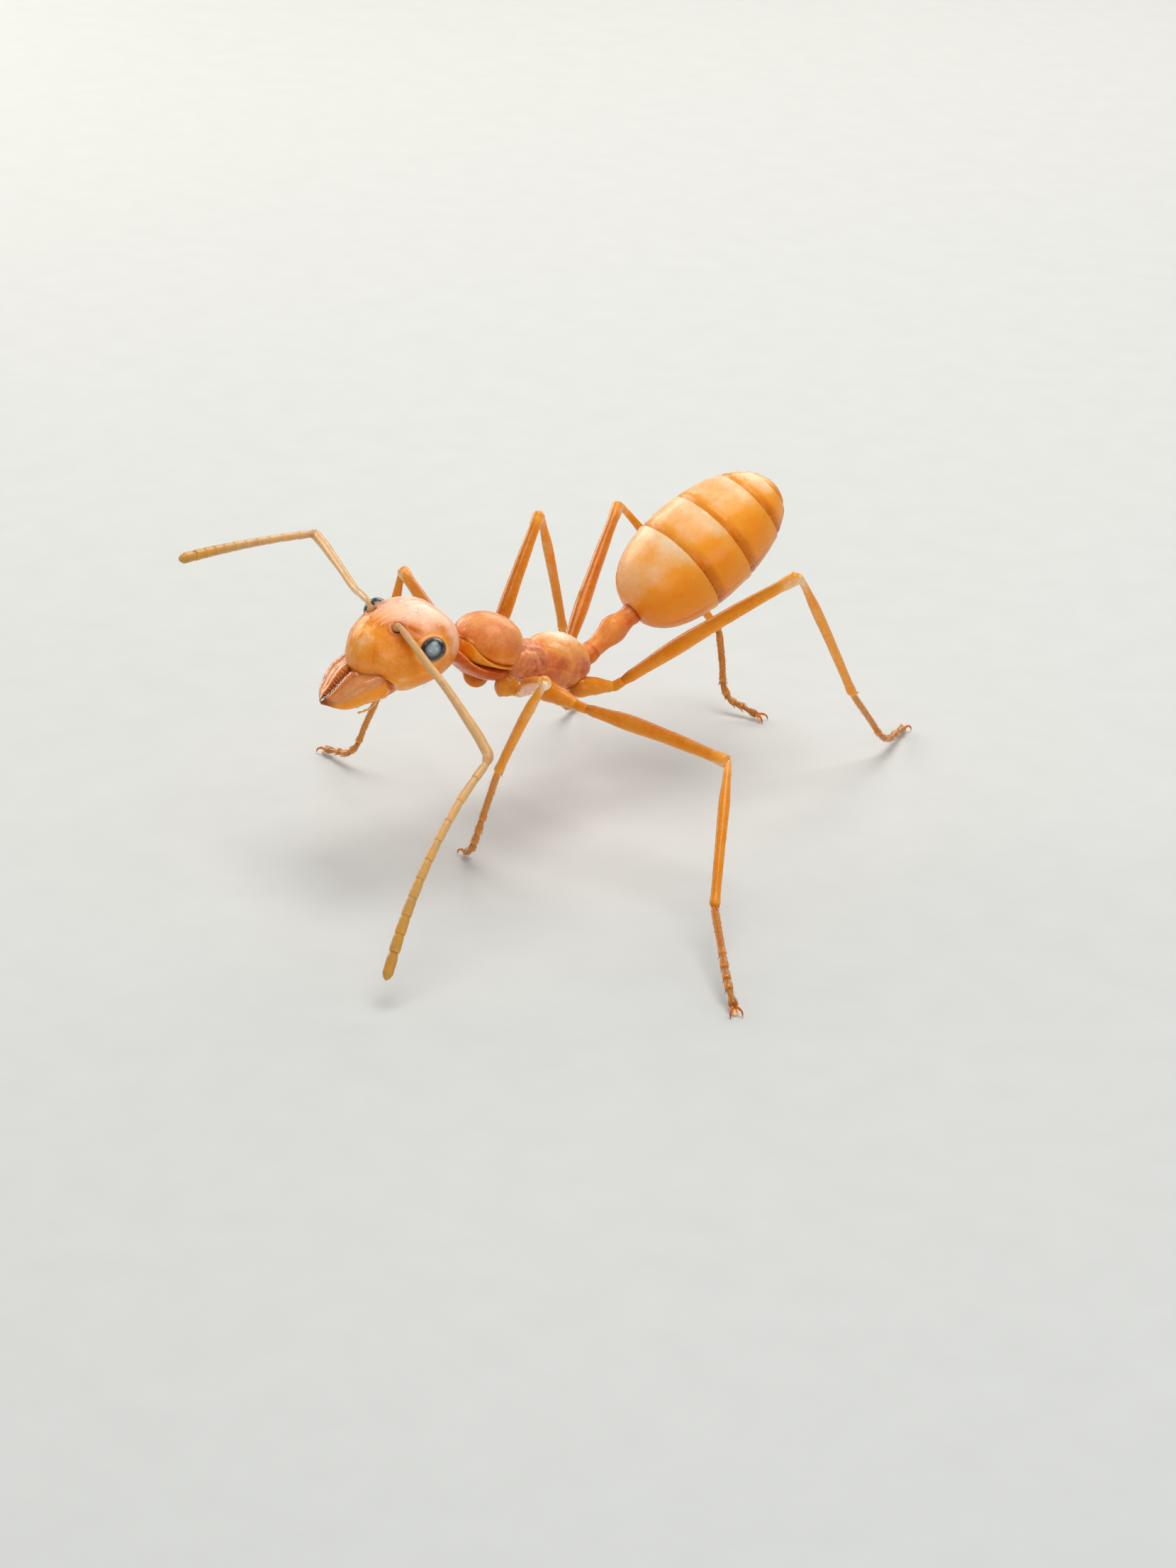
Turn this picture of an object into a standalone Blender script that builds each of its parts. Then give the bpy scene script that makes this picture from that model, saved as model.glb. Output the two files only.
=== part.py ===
"""Asian weaver ant worker (Oecophylla smaragdina), a still life-size model standing on a floor.

Metres, +Z up, floor at z = 0.  The ant faces -Y and its left side is +X.  Sizes below are in
millimetres and are turned to metres where an object is made.
"""

import math

import bmesh
import bpy
from mathutils import Matrix, Vector

MM = 0.001
PART_NAME = "weaver_ant_worker"

GAP = 0.05                # clearance where two sclerites or limb segments meet
LIMB_RADIUS = 0.26        # legs and feelers as solids
LIMB_BEVEL = 3            # sides of a limb: 4 + 2 * LIMB_BEVEL
END_RINGS = 3             # rings in a limb's round end
FOOT_SINK = 0.05          # how much of a foot's round underside is cut flat
HEEL_LIFT = 0.12          # how much higher the heel's axis runs than the toe's
BODY_SIDES = 20

# Head: +X forward, +Y to the ant's left, +Z up in its own frame
HEAD_CENTRE = Vector((-0.35, -2.46, 3.55))
HEAD_AIM = (-101.0, -16.0)             # azimuth and elevation of its forward axis, degrees
HEAD_ROLL = -4.0
HEAD_LENGTH = 1.90                    # of the even capsule, before its face is pushed in
FACE_START = 0.45                     # in front of here the capsule is pushed in, which blunts the face
FACE_KEPT = 0.66                      # share of its length that the face keeps
HEAD_WIDTH = 1.74
HEAD_TOP = 0.66
HEAD_BOTTOM = 0.58
EYE_PLACE = (-0.22, 0.80, 0.24)
EYE_OUT = (0.10, 0.86, 0.50)          # the way the eye looks
EYE_AXES = (0.21, 0.18, 0.20)         # half sizes: along the head, across, outwards
MANDIBLE_SPAN = (0.42, 1.46)          # along the head's axis, base to tip
MANDIBLE_OUTER = (0.60, 0.08)         # from the midline, at base and tip
MANDIBLE_INNER = (0.30, 0.035)
MANDIBLE_TOP = (0.13, -0.12)          # height of its upper side, at base and tip
MANDIBLE_BOTTOM = (-0.45, -0.24)
LABIUM_SPAN = (0.02, 0.66)
LABIUM_HALF_WIDTH = 0.22
LABIUM_TOP = -0.34
LABIUM_BOTTOM = -0.64

# Trunk
TRUNK_CENTRE = Vector((0.0, 0.0, 2.80))
TRUNK_AIM = (-90.0, 21.0)             # azimuth and elevation of its forward axis, degrees
PRONOTUM_SPAN = (0.60, 1.50)          # along the trunk axis, back to front
PRONOTUM_HALF_WIDTH = 0.58
PRONOTUM_DOME = 0.42                  # height of the dome over its edge
PRONOTUM_EDGE = (-0.14, 0.15)         # height of its lower edge, behind and in front
PROPLEURON_SPAN = (0.80, 1.72)
PROPLEURON_HALF_WIDTH = (0.48, 0.22)
PROPLEURON_TOP = (-0.20, 0.0)         # behind and in front
PROPLEURON_BOTTOM = (-0.42, -0.20)
MESOTHORAX_SPAN = (-0.10, 0.54)
MESOTHORAX_HALF_WIDTH = 0.38
MESOTHORAX_TOP = (0.15, 0.25)         # at its ends and in its middle
PROPODEUM_SPAN = (-1.19, -0.16)
PROPODEUM_HALF_WIDTH = 0.46
PROPODEUM_PEAK = -0.60                # where its hump is highest
PROPODEUM_REACH = (0.60, 0.53)        # of the hump, behind its peak and in front of it
PROPODEUM_HEIGHT = 0.43

# Petiole and gaster
PETIOLE_FRONT = Vector((0.0, 1.27, 2.44))
PETIOLE_BACK = Vector((0.05, 2.28, 2.86))
GASTER_TIP = Vector((0.63, 4.97, 4.50))
GASTER_HALF_WIDTH = 0.96
GASTER_HALF_HEIGHT = 0.90
GASTER_BANDS = (0.0, 0.33, 0.56, 0.80, 0.93, 1.0)     # shares of the length, front to tip
GASTER_LEAST = 0.05                   # half size at both ends
PETIOLE_RADIUS = 0.25

# Every leg: its hip in the trunk's frame, the end of its coxa, then azimuth, elevation and length
# of femur and tibia, and where heel and toe stand on the floor.
LEGS = {
    "front_left": dict(hip=(0.78, 0.22, -0.42), coxa_end=(0.56, -0.71, 2.53), femur=(-35, 27, 2.65),
                       tibia=(-176, -61, 2.00), heel=(0.66, -1.88), toe=(0.36, -1.74)),
    "front_right": dict(hip=(0.78, -0.22, -0.42), coxa_end=(-0.55, -0.70, 2.50), femur=(163, 20, 2.65),
                        tibia=(-75, -68, 2.05), heel=(-3.33, -0.80), toe=(-4.09, -0.72)),
    "middle_left": dict(hip=(-0.08, 0.25, -0.42), coxa_end=(1.10, -0.02, 2.30), femur=(7, -3, 2.92),
                        tibia=(-52, -35, 2.50), heel=(6.44, -2.26), toe=(6.80, -2.50)),
    "middle_right": dict(hip=(-0.08, -0.25, -0.42), coxa_end=(-1.00, 0.06, 2.32), femur=(112, 41, 2.80),
                         tibia=(106, -72, 2.45), heel=(-2.25, 3.00), toe=(-2.45, 3.45)),
    "hind_left": dict(hip=(-0.84, 0.24, -0.40), coxa_end=(0.58, 1.28, 2.08), femur=(35, 35, 3.60),
                      tibia=(101, -56, 3.20), heel=(2.50, 5.75), toe=(2.10, 6.73)),
    "hind_right": dict(hip=(-0.84, -0.24, -0.40), coxa_end=(-0.58, 1.28, 2.08), femur=(117, 28, 3.50),
                       tibia=(52, -54, 2.92), heel=(-0.60, 5.22), toe=(-0.02, 5.36)),
}

# Every feeler: its socket in the head's frame, its elbow, its tip, and how far scape and whip arch up
ANTENNAE = {
    "left": dict(socket=(0.06, 0.36, 0.50), elbow=(2.19, -2.93, 2.71), tip=(3.10, -5.90, 0.42),
                 arches=(0.18, 0.22)),
    "right": dict(socket=(0.06, -0.36, 0.50), elbow=(-3.50, -1.30, 4.26), tip=(-2.62, -4.75, 5.02),
                  arches=(0.02, 0.04)),
}
SCAPE_STEPS = 5
FLAGELLUM_STEPS = 8

COLOURS = {
    "head": (0.83, 0.36, 0.12),
    "eye": (0.02, 0.02, 0.03),
    "mandible": (0.72, 0.22, 0.05),
    "trunk": (0.75, 0.30, 0.15),
    "gaster": (0.88, 0.50, 0.22),
    "limb": (0.86, 0.42, 0.08),
    "feeler": (0.83, 0.55, 0.30),
}


def clear_scene():
    for obj in list(bpy.data.objects):
        bpy.data.objects.remove(obj, do_unlink=True)


def new_collection(name):
    collection = bpy.data.collections.new(name)
    bpy.context.scene.collection.children.link(collection)
    return collection


def chitin(kind):
    """The one material of each kind of sclerite."""
    material = bpy.data.materials.get(kind)
    if material is None:
        material = bpy.data.materials.new(kind)
        material.use_nodes = True
        shader = material.node_tree.nodes["Principled BSDF"]
        shader.inputs["Base Color"].default_value = (*COLOURS[kind], 1.0)
        shader.inputs["Roughness"].default_value = 0.12 if kind == "eye" else 0.32
        shader.inputs["Metallic"].default_value = 0.0
    return material


# ---------------------------------------------------------------- geometry helpers, in millimetres
def mix(a, b, t):
    return a + (b - a) * t


def smooth_step(low, high, value):
    t = min(max((value - low) / (high - low), 0.0), 1.0)
    return t * t * (3.0 - 2.0 * t)


def rounding(t, power):
    """Half-width of a unit superellipse at t, from -1 to 1."""
    return max(1.0 - abs(t) ** power, 0.0) ** (1.0 / power)


def stations(low, high, count):
    """Places from low to high, closer together at both ends, as a round end needs."""
    return [mix(low, high, 0.5 - 0.5 * math.cos(math.pi * i / (count - 1))) for i in range(count)]


def direction(azimuth, elevation):
    """Unit vector from degrees: azimuth from +X towards +Y, elevation above the floor."""
    a, e = math.radians(azimuth), math.radians(elevation)
    return Vector((math.cos(a) * math.cos(e), math.sin(a) * math.cos(e), math.sin(e)))


def axis_frame(origin, forward, roll=0.0):
    """Frame with +X along forward, +Y to the ant's left and +Z up, rolled by degrees."""
    x = forward.normalized()
    y = Vector((0.0, 0.0, 1.0)).cross(x).normalized()
    z = x.cross(y)
    rotation = Matrix((x, y, z)).transposed().to_4x4()
    return Matrix.Translation(origin) @ rotation @ Matrix.Rotation(math.radians(roll), 4, "X")


TRUNK = axis_frame(TRUNK_CENTRE, direction(*TRUNK_AIM))
HEAD = axis_frame(HEAD_CENTRE, direction(*HEAD_AIM), HEAD_ROLL)


def section(x, half_width, top, bottom, power=2.0, side_shift=0.0):
    """A superelliptic ring across the body at x, from z = bottom to z = top."""
    middle, height = 0.5 * (top + bottom), 0.5 * (top - bottom)
    ring = []
    for i in range(BODY_SIDES):
        c, s = math.cos(math.tau * i / BODY_SIDES), math.sin(math.tau * i / BODY_SIDES)
        y = side_shift + half_width * math.copysign(abs(c) ** (2.0 / power), c)
        z = middle + height * math.copysign(abs(s) ** (2.0 / power), s)
        ring.append(Vector((x, y, z)))
    return ring


def loft(rings):
    """Close a row of rings with equal numbers of points into one body."""
    bm = bmesh.new()
    rows = [[bm.verts.new(point) for point in ring] for ring in rings]
    for row, after in zip(rows, rows[1:]):
        for i in range(len(row)):
            j = (i + 1) % len(row)
            bm.faces.new((row[i], row[j], after[j], after[i]))
    bm.faces.new(rows[0])
    bm.faces.new(rows[-1])
    bmesh.ops.recalc_face_normals(bm, faces=bm.faces)
    return bm


def ellipsoid(place, axes, segments=16, rings=10):
    bm = bmesh.new()
    bmesh.ops.create_uvsphere(bm, u_segments=segments, v_segments=rings, radius=1.0)
    bmesh.ops.transform(bm, matrix=place @ Matrix.Diagonal((*axes, 1.0)), verts=bm.verts)
    return bm


def arch(start, end, height, steps):
    """Points on a shallow arch from start to end."""
    shares = [i / steps for i in range(steps + 1)]
    return [mix(start, end, t) + Vector((0.0, 0.0, 4.0 * height * t * (1.0 - t))) for t in shares]


def limb(points, radius):
    """A round-ended limb along a path: a bevelled curve turned into a mesh."""
    first, last = points[0], points[-1]
    first_way = (points[1] - first).normalized()
    last_way = (last - points[-2]).normalized()
    stops = []
    for i in range(END_RINGS):
        a = 0.5 * math.pi * (i + 0.5) / END_RINGS
        stops.append((first - first_way * radius * math.cos(a), math.sin(a)))
    stops += [(point, 1.0) for point in points]
    for i in reversed(range(END_RINGS)):
        a = 0.5 * math.pi * (i + 0.5) / END_RINGS
        stops.append((last + last_way * radius * math.cos(a), math.sin(a)))

    curve = bpy.data.curves.new("limb", "CURVE")
    curve.dimensions = "3D"
    curve.bevel_depth = radius
    curve.bevel_resolution = LIMB_BEVEL
    curve.use_fill_caps = True
    spline = curve.splines.new("POLY")
    spline.points.add(len(stops) - 1)
    for point, (place, share) in zip(spline.points, stops):
        point.co = (*place, 1.0)
        point.radius = share
    obj = bpy.data.objects.new("limb", curve)
    bpy.context.scene.collection.objects.link(obj)
    evaluated = obj.evaluated_get(bpy.context.evaluated_depsgraph_get())
    mesh = bpy.data.meshes.new_from_object(evaluated)
    bm = bmesh.new()
    bm.from_mesh(mesh)
    bmesh.ops.remove_doubles(bm, verts=bm.verts, dist=1e-4)
    bmesh.ops.recalc_face_normals(bm, faces=bm.faces)
    bpy.data.meshes.remove(mesh)
    bpy.data.objects.remove(obj)
    bpy.data.curves.remove(curve)
    return bm


def cut(bm, point, normal):
    """Take away what lies beyond a plane and close the cut with one flat face."""
    geometry = bm.verts[:] + bm.edges[:] + bm.faces[:]
    result = bmesh.ops.bisect_plane(bm, geom=geometry, dist=1e-6, plane_co=point, plane_no=normal,
                                    clear_outer=True)
    rim = [item for item in result["geom_cut"] if isinstance(item, bmesh.types.BMEdge)]
    bmesh.ops.contextual_create(bm, geom=rim)
    bmesh.ops.recalc_face_normals(bm, faces=bm.faces)


def part_at_bend(before, corner, after, ending, starting):
    """Split a bend evenly: one limb ends at the plane between its two arms, the next one starts."""
    normal = ((corner - before).normalized() + (after - corner).normalized()).normalized()
    cut(ending, corner - normal * GAP / 2, normal)
    cut(starting, corner + normal * GAP / 2, -normal)


def swell(bm, distance):
    """Move every point out along its normal, for a cutter with clearance."""
    bm.normal_update()
    for vert, normal in [(vert, vert.normal.copy()) for vert in bm.verts]:
        vert.co += normal * distance


def add_object(name, bm, kind, collection, frame=None):
    """Make an object of a mesh in millimetres, placed by a frame in millimetres."""
    bmesh.ops.scale(bm, vec=(MM, MM, MM), verts=bm.verts)
    mesh = bpy.data.meshes.new(name)
    bm.to_mesh(mesh)
    bm.free()
    if kind is not None:
        mesh.materials.append(chitin(kind))
    mesh.shade_smooth()
    mesh.set_sharp_from_angle(angle=math.radians(50.0))
    obj = bpy.data.objects.new(name, mesh)
    if frame is not None:
        obj.location = frame.to_translation() * MM
        obj.rotation_euler = frame.to_euler()
    collection.objects.link(obj)
    return obj


def subtract(obj, bm, cutters, frame=None):
    """Cut a hidden shape out of an object."""
    cutter = add_object(obj.name + "_cutter", bm, None, cutters, frame)
    cutter.hide_render = True
    cutter.display_type = "WIRE"
    boolean = obj.modifiers.new("clearance", "BOOLEAN")
    boolean.operation = "DIFFERENCE"
    boolean.solver = "EXACT"
    boolean.object = cutter


# ---------------------------------------------------------------- head
def head_shape():
    """Capsule of the head: broad and rounded behind, narrowing to the clypeus in front."""
    half = HEAD_LENGTH / 2
    rings = []
    for x in stations(-half * 0.995, half * 0.97, 16):
        round_off = rounding(x / half, 2.5)
        taper = 1.0 - 0.44 * smooth_step(-0.35 * half, 1.0 * half, x)
        front = smooth_step(0.20 * half, half, x)
        top = HEAD_TOP * rounding(x / half, 2.2) * (1.0 - 0.10 * front)
        bottom = -HEAD_BOTTOM * rounding(x / half, 2.4) * (1.0 - 0.80 * front)
        place = min(x, mix(FACE_START, x, FACE_KEPT))
        rings.append(section(place, HEAD_WIDTH / 2 * taper * round_off, top, bottom, 2.2))
    return loft(rings)


def eye_frame(side):
    """The eye's own axes: long axis along the head, short axis out of it."""
    out = Vector((EYE_OUT[0], side * EYE_OUT[1], EYE_OUT[2])).normalized()
    along = (Vector((1.0, 0.0, 0.0)) - out * out.x).normalized()
    across = out.cross(along)
    rotation = Matrix((along, across, out)).transposed().to_4x4()
    place = Vector((EYE_PLACE[0], side * EYE_PLACE[1], EYE_PLACE[2]))
    return Matrix.Translation(place) @ rotation


def mandible_shape(side):
    """A flat three-cornered blade from the corner of the mouth to the tip at the midline."""
    low, high = MANDIBLE_SPAN
    rings = []
    for x in stations(low, high, 9):
        t = (x - low) / (high - low)
        outer = mix(*MANDIBLE_OUTER, 1.0 - (1.0 - t ** 2.2) ** 0.8)
        inner = mix(*MANDIBLE_INNER, smooth_step(0.0, 0.35, t))
        top = mix(*MANDIBLE_TOP, smooth_step(0.40, 1.0, t)) - 0.10 * smooth_step(0.2, 0.0, t)
        bottom = mix(*MANDIBLE_BOTTOM, 0.45 * t + 0.55 * smooth_step(0.70, 1.0, t))
        shift = side * 0.5 * (outer + inner)
        rings.append(section(x, 0.5 * (outer - inner), top, bottom, 2.4, shift))
    return loft(rings)


def labium_shape():
    """Folded lower lip and maxillae under the mouth."""
    low, high = LABIUM_SPAN
    rings = []
    for x in stations(low, high, 7):
        t = 0.98 * (2.0 * (x - low) / (high - low) - 1.0)
        width = LABIUM_HALF_WIDTH * rounding(t, 2.5)
        bottom = mix(LABIUM_TOP, LABIUM_BOTTOM, rounding(t, 2.2))
        rings.append(section(x, width, LABIUM_TOP, bottom, 2.2))
    return loft(rings)


def make_head(parts, cutters):
    head = add_object("head", head_shape(), "head", parts, HEAD)
    for side, word in ((1, "left"), (-1, "right")):
        frame = eye_frame(side)
        add_object("eye_" + word, ellipsoid(frame, EYE_AXES), "eye", parts, HEAD)
        subtract(head, ellipsoid(frame, [axis + GAP / 2 for axis in EYE_AXES]), cutters, HEAD)
        mandible = add_object("mandible_" + word, mandible_shape(side), "mandible", parts, HEAD)
        around = head_shape()
        swell(around, GAP)
        subtract(mandible, around, cutters, HEAD)
    labium = add_object("labium", labium_shape(), "mandible", parts, HEAD)
    around = head_shape()
    swell(around, GAP)
    subtract(labium, around, cutters, HEAD)


def make_antenna(word, antenna, parts, cutters):
    """Scape from the socket to the elbow, then the flagellum in one gentle curve."""
    socket = HEAD @ Vector(antenna["socket"])
    elbow, tip = Vector(antenna["elbow"]), Vector(antenna["tip"])
    stem = arch(socket, elbow, antenna["arches"][0], SCAPE_STEPS)
    whip = arch(elbow, tip, antenna["arches"][1], FLAGELLUM_STEPS)
    scape = limb(stem, LIMB_RADIUS)
    flagellum = limb(whip, LIMB_RADIUS)
    part_at_bend(stem[-2], elbow, whip[1], scape, flagellum)
    scape = add_object("scape_" + word, scape, "feeler", parts)
    add_object("flagellum_" + word, flagellum, "feeler", parts)
    around = head_shape()
    swell(around, GAP)
    subtract(scape, around, cutters, HEAD)


# ---------------------------------------------------------------- trunk, petiole and gaster
def pronotum_shape():
    """Domed shield behind the neck, whose lower edge slants down to the front coxae."""
    low, high = PRONOTUM_SPAN
    rings = []
    for x in stations(low, high, 12):
        t = (x - low) / (high - low)
        dome = rounding(2.0 * t ** 0.8 - 1.0, 2.0)
        width = PRONOTUM_HALF_WIDTH * dome ** 0.8
        width = max(width, 0.30 if t < 0.5 else 0.22)
        edge = mix(*PRONOTUM_EDGE, t ** 5)
        crown = mix(0.20, 0.19, t) + PRONOTUM_DOME * dome
        rings.append(section(x, width, crown, edge, 2.3))
    return loft(rings)


def propleuron_shape():
    """Side and floor of the first trunk segment, from the neck back to the front coxae."""
    low, high = PROPLEURON_SPAN
    rings = []
    for x in stations(low, high, 9):
        t = (x - low) / (high - low)
        width = mix(*PROPLEURON_HALF_WIDTH, t) * rounding(1.1 * t - 0.62, 3.0)
        top = mix(*PROPLEURON_TOP, smooth_step(0.60, 1.0, t))
        bottom = mix(*PROPLEURON_BOTTOM, smooth_step(0.30, 1.0, t))
        rings.append(section(x, width, top, bottom, 2.3))
    return loft(rings)


def mesothorax_shape():
    low, high = MESOTHORAX_SPAN
    rings = []
    for x in stations(low, high, 9):
        t = (x - low) / (high - low)
        width = MESOTHORAX_HALF_WIDTH * mix(0.84, 1.0, rounding(2.0 * t - 1.0, 2.0))
        top = mix(*MESOTHORAX_TOP, rounding(2.0 * t - 1.0, 3.0))
        bottom = -0.48 + 0.12 * t
        rings.append(section(x, width, top, bottom, 2.2))
    return loft(rings)


def propodeum_shape():
    low, high = PROPODEUM_SPAN
    rings = []
    for x in stations(low, high, 11):
        t = (x - low) / (high - low)
        reach = PROPODEUM_REACH[x > PROPODEUM_PEAK]
        hump = rounding((x - PROPODEUM_PEAK) / reach, 2.0)
        bottom = mix(-0.26, -0.50, smooth_step(0.0, 0.4, t))
        width = PROPODEUM_HALF_WIDTH * mix(0.5, 1.0, hump)
        rings.append(section(x, width, PROPODEUM_HEIGHT * hump, bottom, 2.2))
    return loft(rings)


def petiole_shape(length):
    """Low waist segment, a little thicker behind its middle."""
    rings = []
    for x in stations(0.02, length, 9):
        t = x / length
        swelling = 1.0 + 0.22 * math.exp(-((t - 0.55) / 0.22) ** 2)
        rings.append(section(x, PETIOLE_RADIUS * swelling, PETIOLE_RADIUS * swelling, -PETIOLE_RADIUS))
    return loft(rings)


def gaster_section(x, length):
    """Ring of the egg-shaped gaster, fullest before its middle."""
    egg = rounding(mix(-1.0, 1.0, (x / length) ** 0.86), 2.15)
    width = max(GASTER_HALF_WIDTH * egg, GASTER_LEAST)
    height = max(GASTER_HALF_HEIGHT * egg, GASTER_LEAST)
    return section(x, width, height, -height * 0.86, 2.1)


def make_trunk(parts, cutters):
    for name, shape in (("pronotum", pronotum_shape()), ("propleuron", propleuron_shape()),
                        ("mesothorax", mesothorax_shape()), ("propodeum", propodeum_shape())):
        sclerite = add_object(name, shape, "trunk", parts, TRUNK)
        if name == "propleuron":
            around = head_shape()
            swell(around, GAP)
            subtract(sclerite, around, cutters, HEAD)


def make_waist_and_gaster(parts):
    backward = PETIOLE_BACK - PETIOLE_FRONT
    frame = axis_frame(PETIOLE_FRONT, backward)
    add_object("petiole", petiole_shape(backward.length - GAP), "trunk", parts, frame)
    backward = GASTER_TIP - PETIOLE_BACK
    frame = axis_frame(PETIOLE_BACK, backward)
    length = backward.length
    for number, (low, high) in enumerate(zip(GASTER_BANDS, GASTER_BANDS[1:]), start=1):
        first = 0.004 * length if number == 1 else low * length + GAP / 2
        last = 0.996 * length if high == 1.0 else high * length - GAP / 2
        count = 10 if number == 1 else 5
        rings = [gaster_section(x, length) for x in stations(first, last, count)]
        add_object(f"gaster_{number}", loft(rings), "gaster", parts, frame)


# ---------------------------------------------------------------- legs
def make_leg(word, leg, parts, cutters):
    hip = TRUNK @ Vector(leg["hip"])
    coxa_end = Vector(leg["coxa_end"])
    knee = coxa_end + direction(*leg["femur"][:2]) * leg["femur"][2]
    ankle = knee + direction(*leg["tibia"][:2]) * leg["tibia"][2]
    rest = LIMB_RADIUS - FOOT_SINK
    heel = Vector((*leg["heel"], rest + HEEL_LIFT))
    toe = Vector((*leg["toe"], rest))
    coxa = limb([hip, coxa_end], LIMB_RADIUS)
    femur = limb([coxa_end, knee], LIMB_RADIUS)
    tibia = limb([knee, ankle], LIMB_RADIUS)
    tarsus = limb([ankle, heel, toe], LIMB_RADIUS)
    part_at_bend(hip, coxa_end, knee, coxa, femur)
    part_at_bend(coxa_end, knee, ankle, femur, tibia)
    part_at_bend(knee, ankle, heel, tibia, tarsus)
    cut(tarsus, Vector((0.0, 0.0, 0.0)), Vector((0.0, 0.0, -1.0)))
    coxa = add_object("coxa_" + word, coxa, "limb", parts)
    for shape in (pronotum_shape, propleuron_shape, mesothorax_shape, propodeum_shape):
        around = shape()
        swell(around, GAP)
        subtract(coxa, around, cutters, TRUNK)
    add_object("femur_" + word, femur, "limb", parts)
    add_object("tibia_" + word, tibia, "limb", parts)
    add_object("tarsus_" + word, tarsus, "limb", parts)


def centre_on_floor(collections):
    """Move everything so that the middle of the parts' box is over the origin."""
    bpy.context.view_layer.update()
    parts = collections[0].objects
    corners = [obj.matrix_world @ vert.co for obj in parts for vert in obj.data.vertices]
    middle_x = 0.5 * (min(c.x for c in corners) + max(c.x for c in corners))
    middle_y = 0.5 * (min(c.y for c in corners) + max(c.y for c in corners))
    for collection in collections:
        for obj in collection.objects:
            obj.location -= Vector((middle_x, middle_y, 0.0))


def main():
    clear_scene()
    parts = new_collection(PART_NAME)
    cutters = new_collection("cutters")
    make_head(parts, cutters)
    for word, antenna in ANTENNAE.items():
        make_antenna(word, antenna, parts, cutters)
    make_trunk(parts, cutters)
    make_waist_and_gaster(parts)
    for word, leg in LEGS.items():
        make_leg(word, leg, parts, cutters)
    centre_on_floor((parts, cutters))


main()
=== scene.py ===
"""Asian weaver ant worker (Oecophylla smaragdina), life size, standing on a pale studio floor.

The ant faces -Y with its left side at +X and its feet at z = 0.  Shapes are worked out in
millimetres and become metres when an object is made.  Body parts are built in frames of their own:
+X towards the jaws, +Y to the ant's left, +Z up, except the gaster's, whose +X runs to its tip.
"""

import math
from types import SimpleNamespace

import bmesh
import bpy
import numpy as np
from bpy.props import FloatProperty, FloatVectorProperty, IntProperty, PointerProperty
from mathutils import Matrix, Vector, noise
from mathutils.kdtree import KDTree


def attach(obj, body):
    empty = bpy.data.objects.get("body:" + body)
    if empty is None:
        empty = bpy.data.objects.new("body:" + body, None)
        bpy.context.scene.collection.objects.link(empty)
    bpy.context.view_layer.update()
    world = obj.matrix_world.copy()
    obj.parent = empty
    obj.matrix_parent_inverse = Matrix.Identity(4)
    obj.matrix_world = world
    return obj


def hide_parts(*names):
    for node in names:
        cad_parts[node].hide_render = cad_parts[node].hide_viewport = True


bl_info = {
    "name": "Weaver Ant Model",
    "version": (1, 0, 0),
    "blender": (4, 5, 0),
    "location": "View3D > Sidebar > Ant",
    "description": "Builds a life-size weaver ant worker around its solid frame",
    "category": "Add Mesh",
}

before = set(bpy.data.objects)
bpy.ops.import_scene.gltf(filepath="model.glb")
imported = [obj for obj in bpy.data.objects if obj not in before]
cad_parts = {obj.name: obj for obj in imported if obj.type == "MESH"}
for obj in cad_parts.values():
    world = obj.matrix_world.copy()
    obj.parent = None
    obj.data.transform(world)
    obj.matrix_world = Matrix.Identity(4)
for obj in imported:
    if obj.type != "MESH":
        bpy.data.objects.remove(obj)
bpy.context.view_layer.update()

MM = 0.001
TAU = math.tau
SIDES = {"left": 1, "right": -1}
FACING = 0.12                   # corners of neighbouring limb segments face each other this closely
BODY_SIDES = 20                 # corners of each ring of the frame's body parts

# How the ant holds its head and trunk: azimuth, elevation and roll of the forward axis, degrees
HEAD_AIM = (-101.0, -16.0, -4.0)
TRUNK_AIM = (-90.0, 21.0, 0.0)

# Head, in its own frame
HEAD_HALF = 0.95                # half its length
HEAD_HALF_WIDTH = 0.86
HEAD_TOP = 0.65                 # how far its crown and its underside are from its middle
HEAD_BOTTOM = 0.57
FACE_START = 0.45               # in front of here the capsule is pushed in, which blunts the face
FACE_KEPT = 0.66                # share that is kept of the length in front of there
EYE_PLACE = (-0.22, 0.80, 0.24)
EYE_OUT = (0.10, 0.86, 0.50)    # the way the left eye faces
EYE_AXES = (0.205, 0.175, 0.19)     # half its length, half its width, and how far it bulges
SOCKET = (0.06, 0.36)           # forward and sideways place of an antenna's socket
SOCKET_HEIGHT = 0.50

# Trunk, in its own frame
MESOTHORAX_BACK = -0.10         # rear end and crown of the frame's middle trunk part
MESOTHORAX_CROWN = 0.25
HIPS = {"front": (0.78, 0.22, -0.42), "middle": (-0.08, 0.25, -0.42), "hind": (-0.84, 0.24, -0.40)}
LEGS = [place + "_" + side for place in HIPS for side in SIDES]
LEG_PARTS = ("coxa", "femur", "tibia", "tarsus")

FRAME_LIMB = 0.26               # radius of the frame's limbs
HEEL_HEIGHT = 0.33              # height of the axis of a foot at its heel
SOLE_WITHIN = 0.002             # a foot's corners below this height are its sole
SKINS = {}                      # the haired shells of every piece, for the coat

TRUNK_PLATES = ("pronotum", "propleuron", "mesothorax", "propodeum", "petiole")
GASTER_BANDS = (0.0, 0.33, 0.56, 0.80, 0.93, 1.0)      # ends of the plates, shares of the length
PLATES = len(GASTER_BANDS) - 1


def linear(hex_colour):
    """An sRGB colour such as "#e08a3a" as linear red, green and blue."""
    shares = [int(hex_colour[i:i + 2], 16) / 255 for i in (1, 3, 5)]
    return tuple(s / 12.92 if s <= 0.04045 else ((s + 0.055) / 1.055) ** 2.4 for s in shares)


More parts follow.
